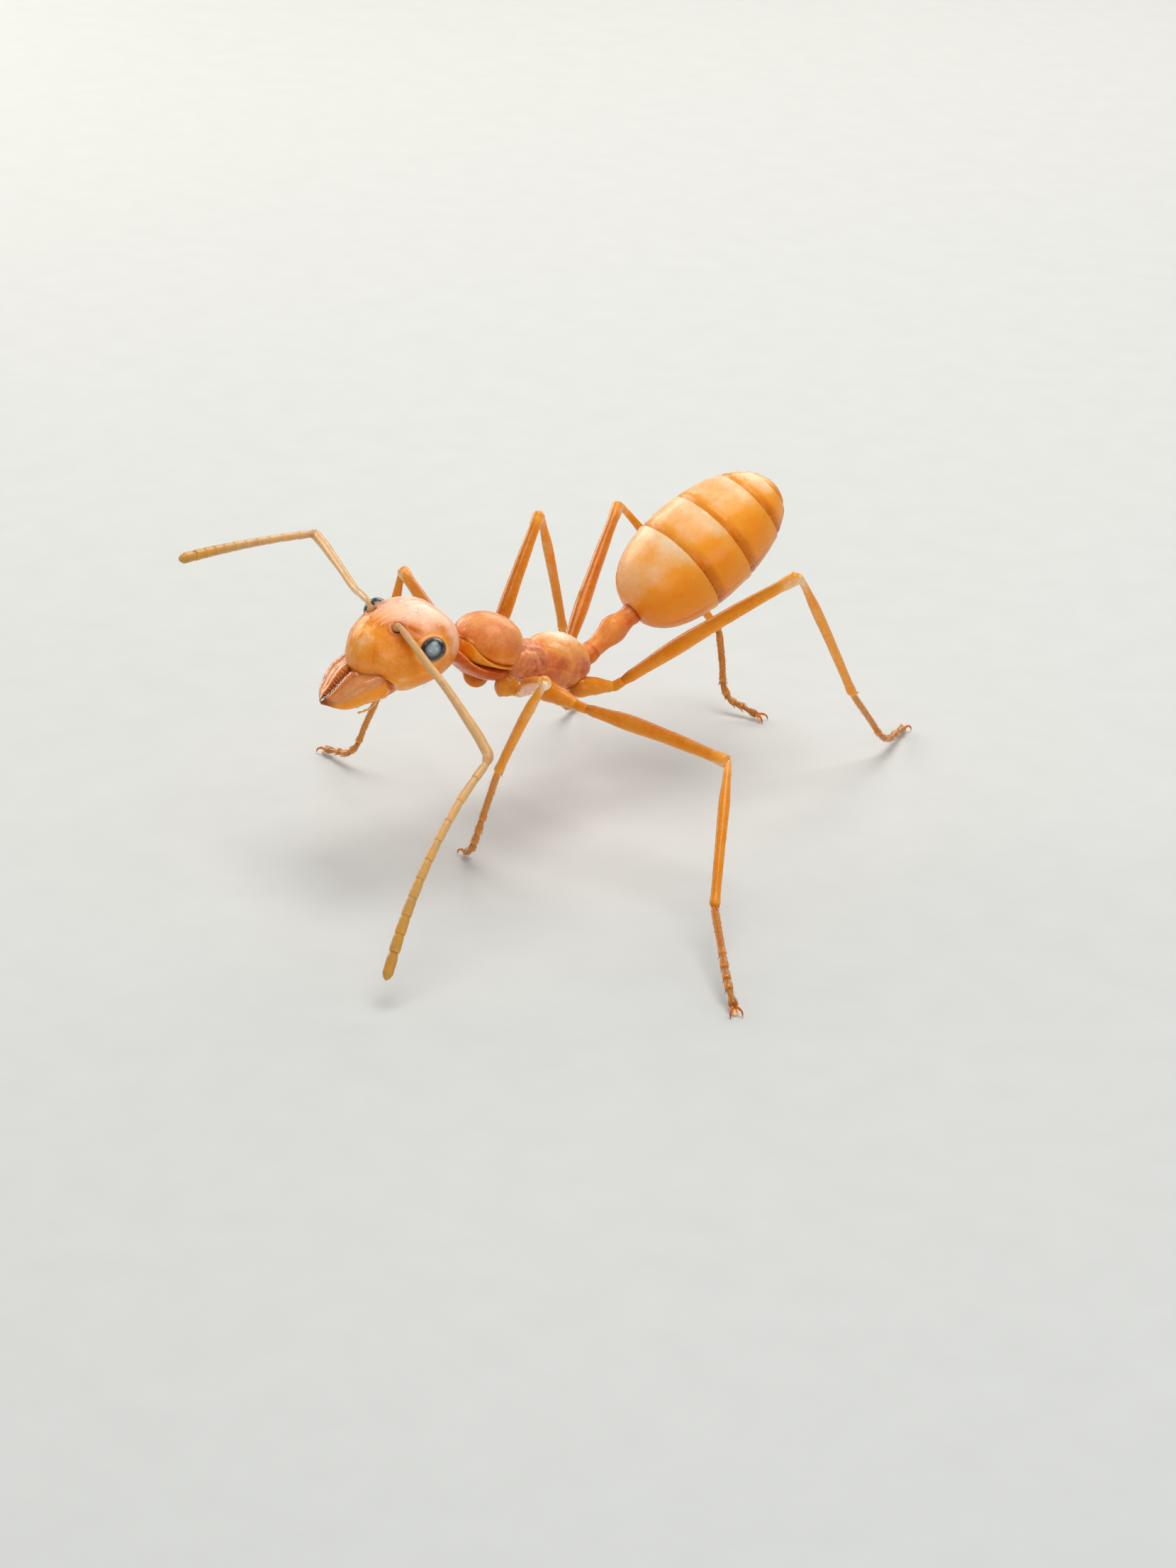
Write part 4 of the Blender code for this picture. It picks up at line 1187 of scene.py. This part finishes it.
# ---------------------------------------------------------------- gaster
class ANT_OT_gaster(bpy.types.Operator):
    """Make the gaster's five overlapping plates and the nozzle at its tip"""

    bl_idname = "ant.gaster"
    bl_label = "Gaster"

    def execute(self, context):
        lip = context.scene.ant.body.lip / MM
        looks = [finish_of("downy_gaster_cuticle"), finish_of("soft_joint_membrane")]
        front, tip = gaster_ends()
        length = np.linalg.norm(tip - front)
        place = place_along(front, tip)
        for number, (low, high) in enumerate(zip(GASTER_BANDS, GASTER_BANDS[1:]), start=1):
            piece = Piece()
            self.plate(piece, number, low * length, high * length, length, lip, place)
            if number == PLATES:
                self.nozzle(piece, length, place)
            piece.make(f"gaster_plate_{number}", looks, "gaster", f"gaster_{number}")
        return {"FINISHED"}

    def plate(self, piece, number, low, high, length, lip, place):
        """Add a plate whose front is tucked under the one before and whose lip covers the next."""
        first, last = number == 1, number == PLATES
        start = 0.004 * length if first else low - 0.10
        end = 0.997 * length if last else high + 0.02
        count = 150 if first else 80
        outer = stations(start, end, count)
        inward = np.zeros(count) if first else 0.045 * smooth_step(low + 0.14, low, outer)
        inward = inward + 0.3 * lip * ridge(outer - low - 0.17, 0.05) * (not first)
        swell = 0.35 * lip * smooth_step(end - 0.14, end - 0.02, outer) * (not last)
        x = np.concatenate([outer, [end + 0.004, end + 0.002, end - 0.06]])
        inset = np.concatenate([inward - swell, [0.25 * lip, 0.8 * lip, lip]])
        egg = rounding(mix(-1.0, 1.0, (x / length) ** 0.86), 2.15)
        width = np.maximum(0.955 * egg, 0.045) - inset
        height = np.maximum(0.895 * egg, 0.045) - inset
        grid = loft(x, np.maximum(width, 0.01), np.maximum(height, 0.01), np.minimum(-0.86 * height, -0.01),
                    2.1, 150)
        z = grid[..., 2] / np.maximum(height, 0.05)[:, None]
        side_line = ridge(z + 0.34, 0.022) * smooth_step(0.02, 0.15, x / length)[:, None]
        grid = pushed(grid, 0.0035 * wrinkles(grid, 0.20, 3) - 0.010 * side_line)
        # the front, tucked under the plate before, is darker and deeper orange, partly from the overlapping
        # plates and partly painted shade
        band = smooth_step(low + 0.26, low + 0.12, x)[:, None] * (not first)
        margin = smooth_step(end - 0.30, end - 0.05, x)[:, None] * (not last)
        tone = 0.54 - 0.10 * band + 0.10 * margin - 0.10 * side_line
        # paler on top: painted highlight; darker and, by the blush, deeper orange underneath: painted shade
        tone = tone + 0.26 * smooth_step(0.3, 0.95, z) - 0.12 * smooth_step(0.0, -0.8, z)
        tone = tone + 0.04 * wrinkles(grid, 0.45, 3) + 0.10 * last
        blush = np.clip(band - 0.6 * margin + 0.5 * smooth_step(-0.1, -0.8, z), 0.0, 1.0)
        shown = 1.0 if first else smooth_step(low, low + 0.05, x)[:, None]
        shown = shown * (np.arange(len(x)) < count)[:, None]
        piece.shell(grid, np.clip(tone, 0.05, 1.0), blush, place=place,
                    downy=np.broadcast_to(shown, tone.shape) * 1.0)

    def nozzle(self, piece, length, place):
        """Add the small round opening at the tip."""
        x = np.array((-0.05, 0.0, 0.015, 0.022, 0.018, -0.02)) + 0.995 * length
        radius = np.array((0.07, 0.048, 0.040, 0.034, 0.022, 0.016))
        piece.shell(loft(x, radius, radius, -radius, 2.0, 36), 0.6, place=place)


# ---------------------------------------------------------------- legs
FOOT_JOINTS = (0.0, 0.50, 0.64, 0.75, 0.84, 1.0)        # shares of a foot's length
TOE_STEPS = 12                  # the last steps of a foot's axis, which set the way its claws point
TOE_HEIGHT = 0.095              # heights of the foot's last joint, a claw's tip and the pad's bend and tip
CLAW_TIP = 0.004
PAD_HEIGHTS = (0.040, 0.020)


class ANT_OT_legs(bpy.types.Operator):
    """Make six legs: coxa and trochanter, femur, tibia with its spur, and the clawed foot"""

    bl_idname = "ant.legs"
    bl_label = "Legs"

    def execute(self, context):
        settings = context.scene.ant.limbs
        looks = [finish_of("amber_leg_cuticle"), finish_of("soft_joint_membrane")]
        for word in LEGS:
            joints = leg_joints(word)
            for part in LEG_PARTS:
                piece = Piece()
                getattr(self, part)(piece, joints, settings, word.startswith("front"))
                piece.make(f"{part}_{word}_segment", looks, "leg", f"{part}_{word}")
            piece = Piece()
            path = self.foot_path(joints)
            self.claws(piece, path[-1], unit(path[-1] - path[-TOE_STEPS]), settings.claw / MM)
            piece.make(f"claws_{word}", looks, "leg")
        return {"FINISHED"}

    def coxa(self, piece, joints, settings, front):
        """Add the hip segment and the small trochanter at its end."""
        hip, end, knee = joints[:3]
        thick = 0.205 if front else 0.175
        way = unit(knee - end)
        wrist = end + 0.03 * way
        piece.limb([hip, mix(hip, wrist, 0.5) + (0.0, 0.0, 0.02), wrist], thick,
                   ((0.0, 0.7), (0.25, 1.0), (0.55, 0.84), (0.88, 0.100 / thick), (1.0, 0.08 / thick)),
                   60, 30, blunt=8.0, tone=((0.0, 0.30), (0.3, 0.52), (0.85, 0.58), (0.95, 0.66), (1.0, 0.4)),
                   blush=0.10, painted_glow=0.05, downy=0.6)
        piece.limb([end - 0.05 * way, end + 0.10 * way, end + 0.27 * way], 0.1,
                   ((0.0, 0.60), (0.3, 0.85), (0.7, 0.80), (1.0, 0.60)), 40, 26, blunt=5.0,
                   tone=((0.0, 0.3), (0.2, 0.52), (0.8, 0.56), (1.0, 0.3)), painted_glow=0.08, downy=0.5)

    def femur(self, piece, joints, settings, front):
        """Add the thigh, swollen in the middle, and the soft skin inside the knee."""
        start, end = joints[1], joints[2]
        way = unit(end - start)
        bow = 0.035 * unit(np.array((0.0, 0.0, 1.0)) - way * way[2])
        piece.limb([start + 0.20 * way, mix(start, end, 0.35) + bow, mix(start, end, 0.7) + bow, end],
                   settings.femur / MM,
                   ((0.0, 0.60), (0.06, 0.74), (0.32, 1.0), (0.6, 0.86), (0.88, 0.72), (0.95, 0.84),
                    (0.985, 0.88), (1.0, 0.6)), 90, 30, blunt=16.0, flat=1.08,
                   # pale at the knee: painted highlight
                   tone=((0.0, 0.44), (0.1, 0.54), (0.5, 0.54), (0.86, 0.58), (0.95, 0.84), (1.0, 0.80)),
                   painted_glow=0.13, downy=1.0)
        piece.limb([end - 0.12 * way, end - 0.06 * way, end - 0.01 * way], 0.050,
                   ((0.0, 0.8), (0.5, 1.0), (1.0, 0.7)), 16, 16, blunt=3.0, tone=0.70, finish=1)

    def tibia(self, piece, joints, settings, front):
        """Add the shin, its spur, longest on the front legs, and the spines at its end."""
        start, end = joints[2], joints[3]
        way = unit(end - start)
        bow = 0.03 * unit(np.array((0.0, 0.0, 1.0)) - way * way[2])
        piece.limb([start - 0.02 * way, start + 0.12 * way + 0.3 * bow, mix(start, end, 0.4) + bow,
                    mix(start, end, 0.75) + 0.6 * bow, end], settings.tibia / MM,
                   ((0.0, 0.62), (0.035, 0.66), (0.10, 0.72), (0.30, 1.0), (0.65, 0.90), (0.90, 0.84),
                    (0.97, 0.98), (1.0, 0.7)), 90, 28, blunt=18.0, flat=0.94,
                   # pale at the knee: painted highlight
                   tone=((0.0, 0.84), (0.05, 0.80), (0.14, 0.66), (0.6, 0.62), (0.92, 0.60), (0.98, 0.66),
                         (1.0, 0.50)), painted_glow=0.07, downy=1.0)
        foot = unit(joints[4] - end)
        aside = unit(np.cross(way, foot) + 0.001)
        lower = unit(np.cross(aside, way))
        reach = 0.24 if front else 0.18
        root = end - 0.05 * way + lower * 0.055
        piece.spine(root, root + reach * unit(0.85 * way + 0.45 * lower), 0.017, -0.02 * lower, tone=0.35)
        for turn in (-0.7, 0.9):
            edge = end - 0.04 * way + unit(lower * math.cos(turn) + aside * math.sin(turn)) * 0.07
            piece.spine(edge, edge + 0.09 * unit(way + 0.5 * (edge - end)), 0.009, tone=0.3)

    def tarsus(self, piece, joints, settings, front):
        """Add the long first foot segment, three short ones and the last, all but the last with end spines.
        """
        size = settings.tarsus / MM
        path = self.foot_path(joints)
        long = dict(knots=((0.0, 0.8), (0.05, 0.95), (0.15, 1.0), (0.85, 0.92), (0.97, 1.12), (1.0, 0.8)),
                    steps=70, tone=((0.0, 0.62), (0.1, 0.48), (0.9, 0.44), (1.0, 0.66)))
        short = dict(knots=((0.0, 0.66), (0.25, 0.80), (0.75, 1.12), (0.93, 1.08), (1.0, 0.7)), steps=34,
                     tone=((0.0, 0.44), (0.5, 0.44), (0.9, 0.60), (1.0, 0.44)))
        last = dict(knots=((0.0, 0.6), (0.3, 0.72), (0.8, 1.20), (1.0, 0.9)), steps=40, blunt=8.0,
                    tone=((0.0, 0.40), (0.6, 0.42), (1.0, 0.30)))
        for low, high, shape in zip(FOOT_JOINTS, FOOT_JOINTS[1:], (long, short, short, short, last)):
            points = along_path(path, np.linspace(max(low - 0.012, 0.0), high, 9))
            piece.limb(points, size, columns=20, downy=1.0, blush=mix(0.15, 0.55, high), painted_glow=0.04, flat=0.85,
                       **shape)
            if shape is not last:
                self.side_spines(piece, along_path(path, [high - 0.015, high]), size)

    def foot_path(self, joints):
        """The axis of a foot from its ankle over its heel to its toe."""
        ankle, heel, toe = joints[3:]
        toe = np.array((toe[0], toe[1], TOE_HEIGHT))
        heel = heel - (0.0, 0.0, 0.03)
        return smooth_path([ankle, mix(ankle, heel, 0.5), mix(ankle, heel, 0.9), mix(heel, toe, 0.15),
                            mix(heel, toe, 0.6), toe], 300)

    def side_spines(self, piece, ends, size):
        """Stout spines at the far corners of a foot segment."""
        way = unit(ends[1] - ends[0])
        aside = unit(np.cross(way, (0.0, 0.0, 1.0)))
        down = unit(np.cross(aside, way))
        for turn, length in ((-1.0, 0.085), (-0.35, 0.065), (0.35, 0.065), (1.0, 0.085)):
            out = unit(aside * turn - 0.75 * abs(down[2]) * np.array((0.0, 0.0, 1.0)))
            root = ends[0] + out * 0.85 * size
            piece.spine(root, root + length * unit(way + 0.75 * out), 0.008, tone=0.28, blush=0.5)

    def claws(self, piece, end, way, reach):
        """Two hooked claws and the soft pad between them, all touching the floor."""
        level = unit(way * (1.0, 1.0, 0.0))
        aside = np.cross(level, (0.0, 0.0, 1.0))
        for turn in (-1.0, 1.0):
            points = [end + turn * wide * aside + far * level + (0.0, 0.0, rise)
                      for wide, far, rise in ((0.018, -0.02, 0.0), (0.050, 0.42 * reach, 0.022),
                                              (0.085, 0.80 * reach, -0.012), (0.092, 0.98 * reach, 0.0))]
            points[-1][2] = CLAW_TIP
            piece.limb(points, 0.01, ((0.0, 2.6), (0.3, 2.2), (0.75, 1.3), (1.0, 0.3)), 26, 12, blunt=30.0,
                       tone=((0.0, 0.5), (0.5, 0.35), (1.0, 0.12)))
        pad = [end - 0.02 * level, end + 0.35 * reach * level, end + 0.62 * reach * level]
        pad[1][2], pad[2][2] = PAD_HEIGHTS
        piece.limb(pad, 0.02, ((0.0, 1.1), (0.45, 2.0), (0.85, 2.3), (1.0, 1.0)), 24, 18, blunt=4.0,
                   flat=0.42, tone=0.85, finish=1)


# ---------------------------------------------------------------- coat
class Coat:
    """Fine hairs sown over haired shells, joined in one mesh."""

    CORNERS = np.array([(math.cos(TAU * k / 3), math.sin(TAU * k / 3)) for k in range(3)])
    FACES = np.array(((0, 2, 1), (0, 1, 4), (0, 4, 3), (1, 2, 5), (1, 5, 4), (2, 0, 3), (2, 3, 5),
                      (3, 4, 6), (4, 5, 6), (5, 3, 6)))
    PATCH = 0.0015              # half the width of a hair's patch on the unwrapped skin

    def __init__(self, skins, seed):
        """Take the quads of the skins as ground to sow, and unwrap every skin into a cell of its own."""
        self.random = np.random.default_rng(seed)
        self.points, self.places = [], []
        quads, thickness, places = [], [], []
        cells = math.ceil(math.sqrt(len(skins)))
        for number, (grid, downy) in enumerate(skins):
            rows, columns = grid.shape[:2]
            after = np.roll(grid, -1, axis=1)
            quads.append(np.stack([grid[:-1], after[:-1], grid[1:], after[1:]], axis=2).reshape(-1, 4, 3))
            thickness.append(downy[:-1].ravel())
            row, column = np.divmod(np.arange((rows - 1) * columns), columns)
            cell = np.array(divmod(number, cells))
            unwrap = np.stack([column / columns, row / (rows - 1)], axis=1)
            size = np.broadcast_to((1.0 / columns, 1.0 / (rows - 1)), unwrap.shape)
            places.append(np.stack([(cell + 0.02 + 0.96 * unwrap) / cells, 0.96 * size / cells], axis=1))
        self.quads = np.concatenate(quads)
        self.unwrap = np.concatenate(places)
        around = self.quads[:, 1] - self.quads[:, 0]
        along = self.quads[:, 2] - self.quads[:, 0]
        out = np.cross(around, along)
        self.area = np.linalg.norm(out, axis=1) * np.concatenate(thickness)
        self.out, self.lay = unit(out), unit(along)

    def sow(self, count, length, radius, lean, lie=1.0, spread=0.25):
        """Grow hairs of about a length that lean along the rows of their shells."""
        pick = self.random.choice(len(self.area), count, p=self.area / self.area.sum())
        u, v = self.random.random((2, count, 1))
        a, b, c, d = np.moveaxis(self.quads[pick], 1, 0)
        root = mix(mix(a, b, u), mix(c, d, u), v)
        place = self.unwrap[pick, 0] + self.unwrap[pick, 1] * np.concatenate([u, v], axis=1)
        out = self.out[pick]
        stray = self.random.normal(size=(count, 3)) * spread
        lay = unit(lie * self.lay[pick] + stray)
        lay = unit(lay - 0.98 * out * np.sum(lay * out, axis=1, keepdims=True))
        long = length * self.random.uniform(0.65, 1.2, (count, 1))
        first = unit(mix(out, lay, lean))
        second = unit(mix(out, lay, min(1.15 * lean + 0.06, 0.97)))
        root = root - 0.006 * out
        middle = root + 0.5 * long * first
        tip = middle + 0.5 * long * second
        one = unit(np.cross(first, out + 0.3 * lay[:, ::-1]))
        two = np.cross(first, one)
        ring = sum(self.CORNERS[None, :, k, None] * side[:, None] for k, side in enumerate((one, two)))
        hair = np.concatenate([root[:, None] + radius * ring, middle[:, None] + 0.72 * radius * ring,
                               tip[:, None]], axis=1)
        patch = np.concatenate([self.CORNERS, self.CORNERS, np.zeros((1, 2))]) * self.PATCH
        self.points.append(hair.reshape(-1, 3))
        self.places.append((place[:, None] + patch).reshape(-1, 2))

    def make(self, name, slot):
        """Turn the hairs into an object that rides on the frame."""
        points = np.concatenate(self.points)
        points[:, 2] = np.maximum(points[:, 2], 0.0)
        places = np.concatenate(self.places)
        faces = (np.arange(len(points) // 7)[:, None, None] * 7 + self.FACES).reshape(-1, 3)
        mesh = bpy.data.meshes.new(name)
        mesh.from_pydata(points * MM, [], faces)
        mesh.materials.append(finish_of("golden_setae"))
        layer = mesh.uv_layers.new(name="OFBake")
        layer.data.foreach_set("uv", places[faces.ravel()].astype(np.float32).ravel())
        mesh.shade_smooth()
        join_ant(name, mesh, slot)


class ANT_OT_coat(bpy.types.Operator):
    """Grow the pale down and the longer bristles over every part"""

    bl_idname = "ant.coat"
    bl_label = "Hairs"

    def execute(self, context):
        settings = context.scene.ant.coat
        lengths = (settings.down, settings.bristle, settings.thickness)
        down, bristle, thick = (value / MM for value in lengths)
        lean = settings.lean
        self.grow("head_hairs", "head", 11, ["head_capsule"],
                  (4200, 0.8 * down, 0.8 * thick, lean), (16, 0.7 * bristle, thick, 0.35))
        self.grow("mandible_hairs", "mandible", 12, ["mandible_blade_" + side for side in SIDES],
                  (420, 1.1 * down, thick, 0.7), (14, 0.6 * bristle, thick, 0.6))
        self.grow("trunk_hairs", "thorax", 13, [plate + "_plate" for plate in TRUNK_PLATES],
                  (4600, down, 0.8 * thick, lean, -1.0), (14, 0.6 * bristle, thick, 0.3, -1.0))
        self.grow("gaster_hairs", "gaster", 14, [f"gaster_plate_{number + 1}" for number in range(PLATES)],
                  (9000, 1.1 * down, 0.75 * thick, lean, 1.0, 0.15), (40, 0.8 * bristle, thick, 0.5))
        seed = 20
        for word in LEGS:
            *leg, foot = [f"{part}_{word}_segment" for part in LEG_PARTS]
            self.grow("leg_hairs_" + word, "leg", seed, leg,
                      (2200, 0.9 * down, 0.8 * thick, 0.8), (30, 0.45 * bristle, thick, 0.6))
            self.grow("foot_hairs_" + word, "leg", seed + 1, [foot],
                      (1100, 0.9 * down, 0.9 * thick, 0.72), (120, 0.5 * bristle, 1.3 * thick, 0.6))
            seed += 2
        for side in SIDES:
            feeler = [f"feeler_{part}_{side}" for part in ("scape", "whip")]
            self.grow("feeler_hairs_" + side, "antenna", seed, feeler,
                      (2600, 0.65 * down, 0.75 * thick, 0.72))
            seed += 1
        return {"FINISHED"}

    def grow(self, name, slot, seed, skins, *sowings):
        """Grow one object's hairs over some pieces: for each kind the count, length, radius and lean."""
        coat = Coat(sum((SKINS[skin] for skin in skins), []), seed)
        for sowing in sowings:
            coat.sow(*sowing)
        coat.make(name, slot)


# ---------------------------------------------------------------- stage
CAMERA_AIM = (-0.087, -0.351, 0.977)    # what the camera looks at
CAMERA_WAY = (-45.0, 25.0)              # azimuth and elevation of the camera from there, degrees
LENS = 87.88
FLOOR_RADIUS = 78.0
LIGHTS_AIM = (0.0, 0.0, 2.5)
SOFTBOXES = (                           # name, place, width, height, share of the key light's power, colour
    ("overhead_softbox", (2.0, 10.0, 72.0), 50.0, 45.0, 1.0, "#fffaf2"),
    ("right_rim", (-76.0, 4.0, 30.0), 60.0, 36.0, 0.80, "#fff6e8"),
    ("rear_rim", (-32.0, 64.0, 40.0), 60.0, 36.0, 0.55, "#fff6ea"),
    ("left_window", (84.0, -8.0, 30.0), 46.0, 46.0, 0.42, "#f6f8ff"),
    ("front_fill", (40.0, -72.0, 22.0), 50.0, 40.0, 0.34, "#fffdf8"),
)
ROOM_GLOW = 0.30                        # strength of the pale room as a light
ROOM_SEEN = 0.80                        # and as a backdrop, where the camera looks past the floor


def aimed(obj, location, target):
    """Place an object and point its -Z at a target, in millimetres."""
    obj.location = Vector(location) * MM
    way = Vector(target) - Vector(location)
    obj.rotation_euler = way.to_track_quat("-Z", "Y").to_euler()
    bpy.context.scene.collection.objects.link(obj)


class ANT_OT_stage(bpy.types.Operator):
    """Make the pale floor, the soft studio lights and the camera"""

    bl_idname = "ant.stage"
    bl_label = "Floor, lights and camera"

    def execute(self, context):
        scene = context.scene
        settings = scene.ant.stage
        self.floor(tuple(settings.floor))
        for name, place, width, height, share, colour in SOFTBOXES:
            light = bpy.data.lights.new(name, "AREA")
            light.shape = "RECTANGLE"
            light.size, light.size_y = width * MM, height * MM
            light.energy = share * settings.key
            light.color = linear(colour)
            lamp = bpy.data.objects.new(name, light)
            lamp.visible_camera = False
            aimed(lamp, place, LIGHTS_AIM)
        scene.world = self.room()
        scene.camera = self.camera(settings.distance / MM)
        scene.view_settings.view_transform = "Standard"
        return {"FINISHED"}

    def room(self):
        """A plain pale room that lights the ant dimly and is seen as a paler backdrop."""
        world = bpy.data.worlds.new("pale_room")
        world.use_nodes = True
        tree = world.node_tree
        seen = add_node(tree, "LightPath", "Is Camera Ray")
        strength = add_node(tree, "Math", 0, {0: seen, 1: ROOM_SEEN - ROOM_GLOW, 2: ROOM_GLOW},
                            operation="MULTIPLY_ADD")
        plug(tree.nodes["Background"], {"Color": (*linear("#e9edf0"), 1.0), "Strength": strength})
        return world

    def camera(self, distance):
        """A long lens that looks at the ant from in front, from its left and from above."""
        data = bpy.data.cameras.new("camera")
        data.sensor_width = 36.0
        data.lens = LENS
        data.clip_start = 1.0 * MM
        data.clip_end = 10.0
        camera = bpy.data.objects.new("camera", data)
        aimed(camera, Vector(CAMERA_AIM) + direction(*CAMERA_WAY) * distance, CAMERA_AIM)
        return camera

    def floor(self, colour):
        """Matt card: a pale sheet with hardly visible fibre, which keeps reflections off the ant."""
        material, tree, shader, place = new_material("matt_card")
        fibre = add_node(tree, "TexNoise", "Fac", {"Vector": place, "Scale": per_metre(0.8), "Detail": 3.0})
        paint = add_node(tree, "ValToRGB", "Color", {"Fac": fibre},
                         ((0.3, scaled(colour, (0.97, 0.97, 0.97))), (0.7, colour)))
        plug(shader, {"Base Color": paint, "Roughness": 0.85})
        bm = bmesh.new()
        bmesh.ops.create_circle(bm, cap_ends=True, segments=128, radius=FLOOR_RADIUS * MM)
        mesh = bpy.data.meshes.new("floor")
        bm.to_mesh(mesh)
        bm.free()
        mesh.materials.append(material)
        floor = bpy.data.objects.new("floor", mesh)
        floor.location.z = -0.002 * MM
        bpy.context.scene.collection.objects.link(floor)


# ---------------------------------------------------------------- add-on
MAKERS = (ANT_OT_head, ANT_OT_eyes, ANT_OT_jaws, ANT_OT_feelers, ANT_OT_trunk, ANT_OT_gaster, ANT_OT_legs,
          ANT_OT_coat, ANT_OT_stage)


class ANT_PT_model(bpy.types.Panel):
    """The steps that build the ant, and their settings"""

    bl_label = "Weaver ant"
    bl_idname = "ANT_PT_model"
    bl_space_type = "VIEW_3D"
    bl_region_type = "UI"
    bl_category = "Ant"

    def draw(self, context):
        for maker in MAKERS:
            self.layout.operator(maker.bl_idname)
        ant = context.scene.ant
        for group in (ant.head, ant.limbs, ant.body, ant.coat, ant.stage):
            box = self.layout.box()
            for name in group.__annotations__:
                box.prop(group, name)


CLASSES = (HeadSettings, LimbSettings, BodySettings, CoatSettings, StageSettings, AntSettings, *MAKERS,
           ANT_PT_model)


def register():
    for cls in CLASSES:
        bpy.utils.register_class(cls)
    bpy.types.Scene.ant = PointerProperty(type=AntSettings)


def unregister():
    del bpy.types.Scene.ant
    for cls in reversed(CLASSES):
        bpy.utils.unregister_class(cls)


def main():
    """Build the whole ant and its stage around the frame."""
    register()
    bpy.ops.ant.head()
    bpy.ops.ant.eyes()
    bpy.ops.ant.jaws()
    bpy.ops.ant.feelers()
    bpy.ops.ant.trunk()
    bpy.ops.ant.gaster()
    bpy.ops.ant.legs()
    bpy.ops.ant.coat()
    bpy.ops.ant.stage()


if __name__ == "__main__":
    main()
